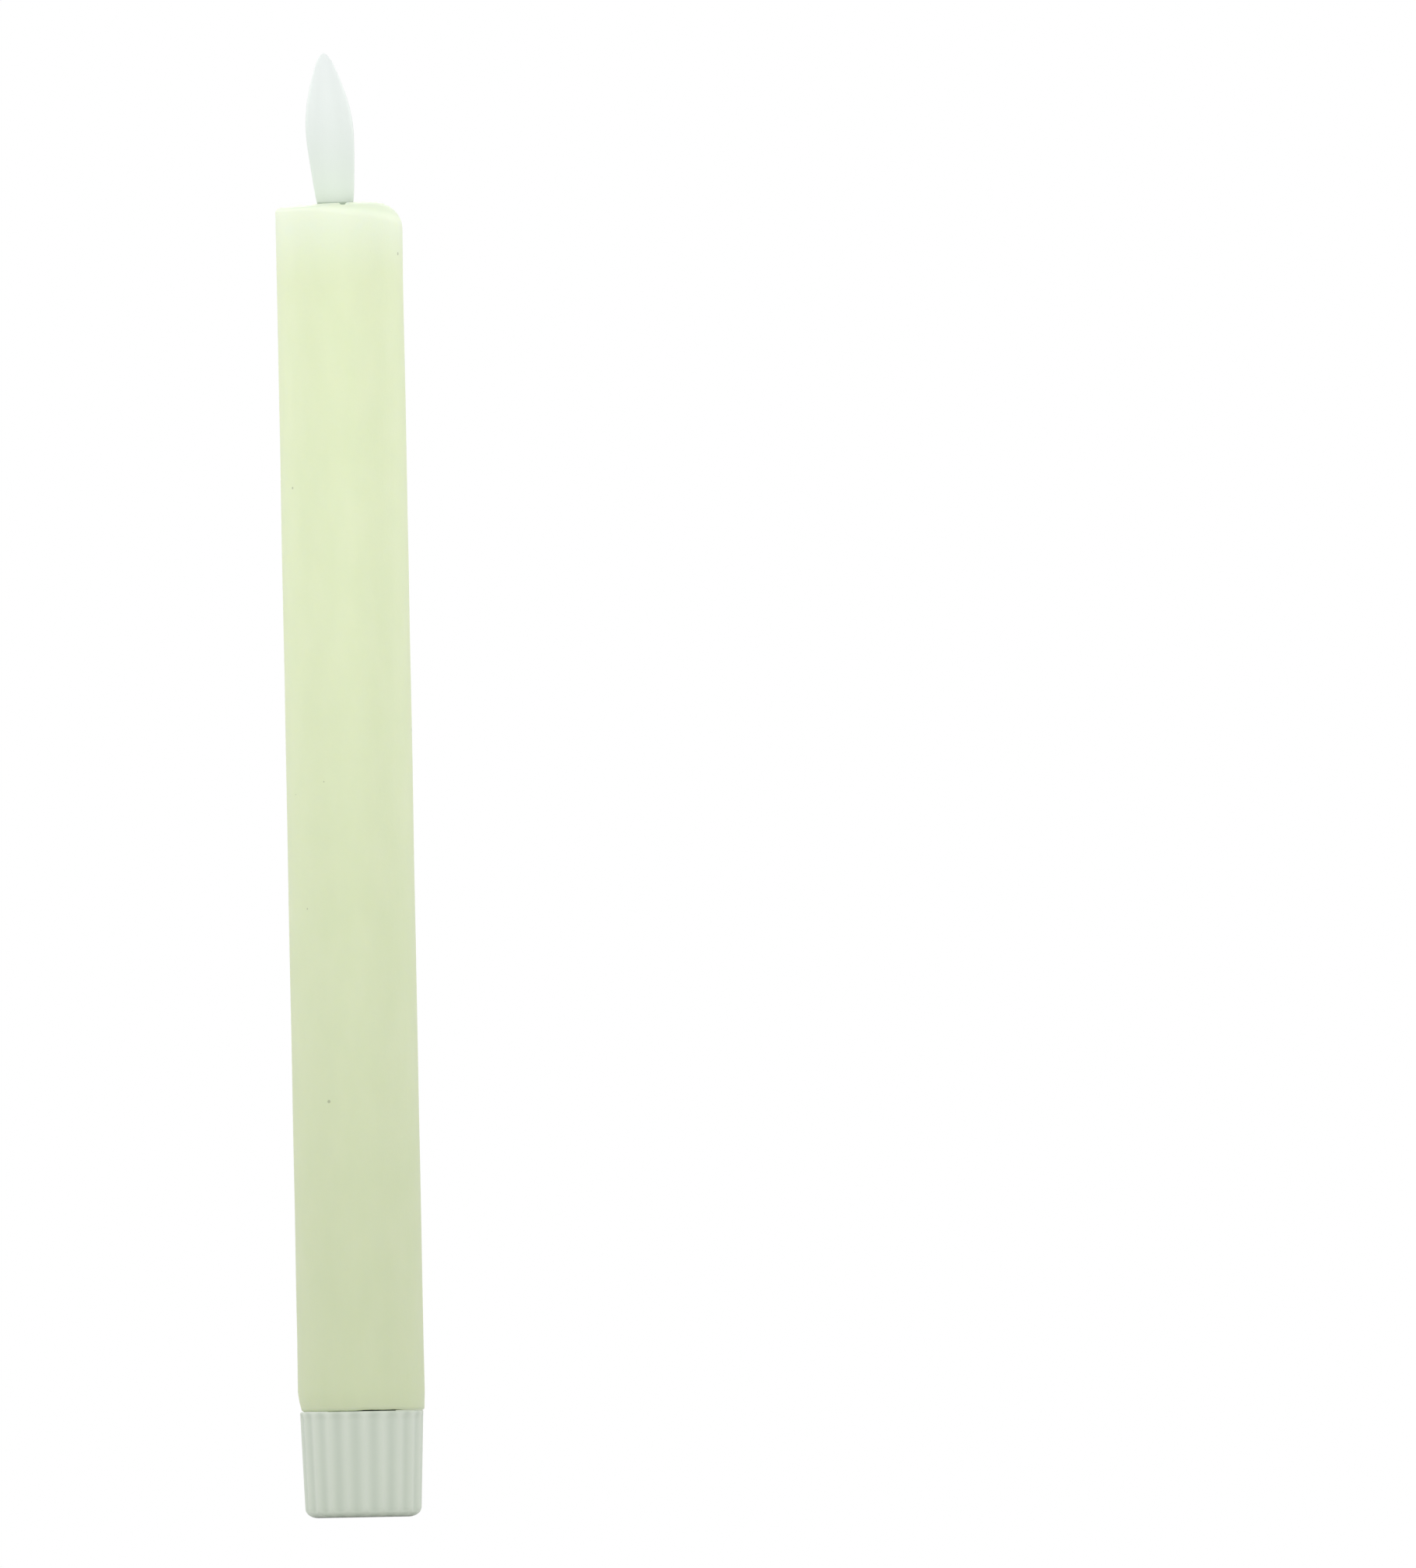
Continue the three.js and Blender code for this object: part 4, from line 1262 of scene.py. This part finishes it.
def drive_coil():
    """The coil's wire, turn above turn."""
    place = Place("coil_winding")
    rows = 12
    wire_r = place.height / rows / 2
    middle_r = place.radius - wire_r
    outline = [(COIL_BORE_R, place.z0), (middle_r, place.z0)]
    for row in range(rows):
        middle_z = place.z0 + (2 * row + 1) * wire_r
        outline += arc((middle_r, middle_z), wire_r, wire_r, -60, 60, 4)
    outline += [(middle_r, place.z1), (COIL_BORE_R, place.z1)]
    return piece("drive_coil", turned(outline, 64), "candle_body", "copper", "coil_winding")


# ---- CAD pieces that keep their own shape ----------------------------------------------------

KEPT = {
    "white_plastic": [
        "battery_tube",
        "terminal_holder",
        "board_clip_lower",
        "board_clip_upper",
        "coil_bobbin",
    ],
    "nickel": ["negative_strip", "positive_plate"],
    "board": ["circuit_board"],
    "black_plastic": ["controller_chip", "drive_transistor"],
    "resistor": ["resistor_lower", "resistor_upper"],
    "capacitor": ["capacitor"],
    "copper": ["coil_lead_left", "coil_lead_right"],
    "red_wire": ["positive_lead", "led_lead_left"],
    "black_wire": ["negative_lead", "led_lead_right"],
}


def finish_kept_nodes():
    """Gives the CAD pieces that stay their finishes."""
    for finish, names in KEPT.items():
        for name in names:
            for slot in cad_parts[name].material_slots:
                slot.material = FINISHES[finish]


# ---- Floor, light and camera -----------------------------------------------------------------

CAMERA_ROLL = math.radians(1.1)
CAMERA_CENTRE = (62.12, -600.0, 125.95)
FRAME_HEIGHT = 271.8
FLOOR_HALF = 3.0  # metres, as are the lamps' places
FLOOR_GAP = 0.00005
FLOOR_WHITENING = 0.7
AMBIENT = 0.72
LAMP_RING_R = 0.45
LAMP_HEIGHT = 0.34
LAMP_WIDTH = 0.2
LAMP_SPREAD = math.radians(48)
LAMP_POWER = 0.041
LAMP_STRENGTHS = [1.0, 0.9, 0.75, 0.75, 0.8, 1.0]  # round the candle, from the front to its right
LAMP_AIM = Vector((0, 0, 0.195))


def seen_directly(finish):
    """1 for rays that come from the camera, a reflection or clear plastic."""
    total = None
    for name in ("Is Camera Ray", "Is Glossy Ray", "Is Transmission Ray"):
        ray = finish.node("LightPath", out=name)
        total = ray if total is None else finish.either(total, ray)
    return total


def white_surroundings():
    """A white world that lights the candle from all round, a little less than it shows."""
    world = bpy.data.worlds.new("white_surroundings")
    bpy.context.scene.world = world
    sky = Finish(world)
    strength = seen_directly(sky) * (1 - AMBIENT) + AMBIENT
    light_all_round = sky.node("Background", None, {"Color": (1, 1, 1, 1), "Strength": strength})
    sky.ends_in(light_all_round, "OutputWorld")


def pale_floor():
    """A sheet of paper under the candle, whitened where it is seen directly."""
    paper = new_finish("floor_paper")
    fibre = paper.clouds(30, 3)
    sheet = {"Base Color": paper.tint(fibre, srgb(222, 222, 221), srgb(226, 226, 225))}
    sheet |= {"Roughness": 0.9, "Specular IOR Level": 0.1}
    matt = paper.node("BsdfPrincipled", None, sheet)
    glow = paper.node("Emission", None, {"Color": (1, 1, 1, 1), "Strength": 1.0})
    whitened = seen_directly(paper) * FLOOR_WHITENING
    material = paper.ends_in(paper.node("MixShader", None, {0: whitened, 1: matt, 2: glow}))
    shape = bmesh.new()
    under = Matrix.Translation((0, 0, -FLOOR_GAP))
    bmesh.ops.create_grid(shape, x_segments=4, y_segments=4, size=FLOOR_HALF, matrix=under)
    floor = loose_object(shape, "floor")
    floor.data.materials.append(material)


def studio_lamps():
    """Soft lamps in a ring above the candle, so that its top is lit more than its foot."""
    for index, strength in enumerate(LAMP_STRENGTHS):
        name = f"ring_lamp_{index + 1}"
        data = bpy.data.lights.new(name, "AREA")
        data.energy = LAMP_POWER * strength
        data.size = LAMP_WIDTH
        data.spread = LAMP_SPREAD
        lamp = bpy.data.objects.new(name, data)
        turn = math.radians(-90 + 360 * index / len(LAMP_STRENGTHS))
        lamp.location = (LAMP_RING_R * math.cos(turn), LAMP_RING_R * math.sin(turn), LAMP_HEIGHT)
        lamp.rotation_euler = (LAMP_AIM - lamp.location).to_track_quat("-Z", "Y").to_euler()
        bpy.context.scene.collection.objects.link(lamp)


def camera():
    """A level camera that is rolled a little and looks along +Y, so the candle stands at the left."""
    data = bpy.data.cameras.new("camera")
    data.type = "ORTHO"
    data.ortho_scale = FRAME_HEIGHT * MM
    data.clip_end = 20
    eye = bpy.data.objects.new("camera", data)
    right = Vector((math.cos(CAMERA_ROLL), 0, -math.sin(CAMERA_ROLL)))
    up = Vector((math.sin(CAMERA_ROLL), 0, math.cos(CAMERA_ROLL)))
    back = right.cross(up)
    turn = Matrix((right, up, back)).transposed().to_4x4()
    eye.matrix_world = Matrix.Translation(Vector(CAMERA_CENTRE) * MM) @ turn
    bpy.context.scene.collection.objects.link(eye)
    bpy.context.scene.camera = eye


# ---- Assembly --------------------------------------------------------------------------------

camera()
white_surroundings()
pale_floor()
studio_lamps()

wax_coat()
ribbed_cap()
screw_boss()
contact_strip()
coil_spring()
cell("lower_cell", "first_cell")
cell("upper_cell", "second_cell")
inner_tube()
brass_collar()
flame_leaf()
swing_stem()
drive_magnet()
hanging_wire()
socket_cup()
light()
drive_coil()
finish_kept_nodes()

bpy.context.scene.view_settings.view_transform = "Standard"


def plain(bounds):
    """Corners as plain lists."""
    return [[round(number, 7) for number in corner] for corner in bounds]
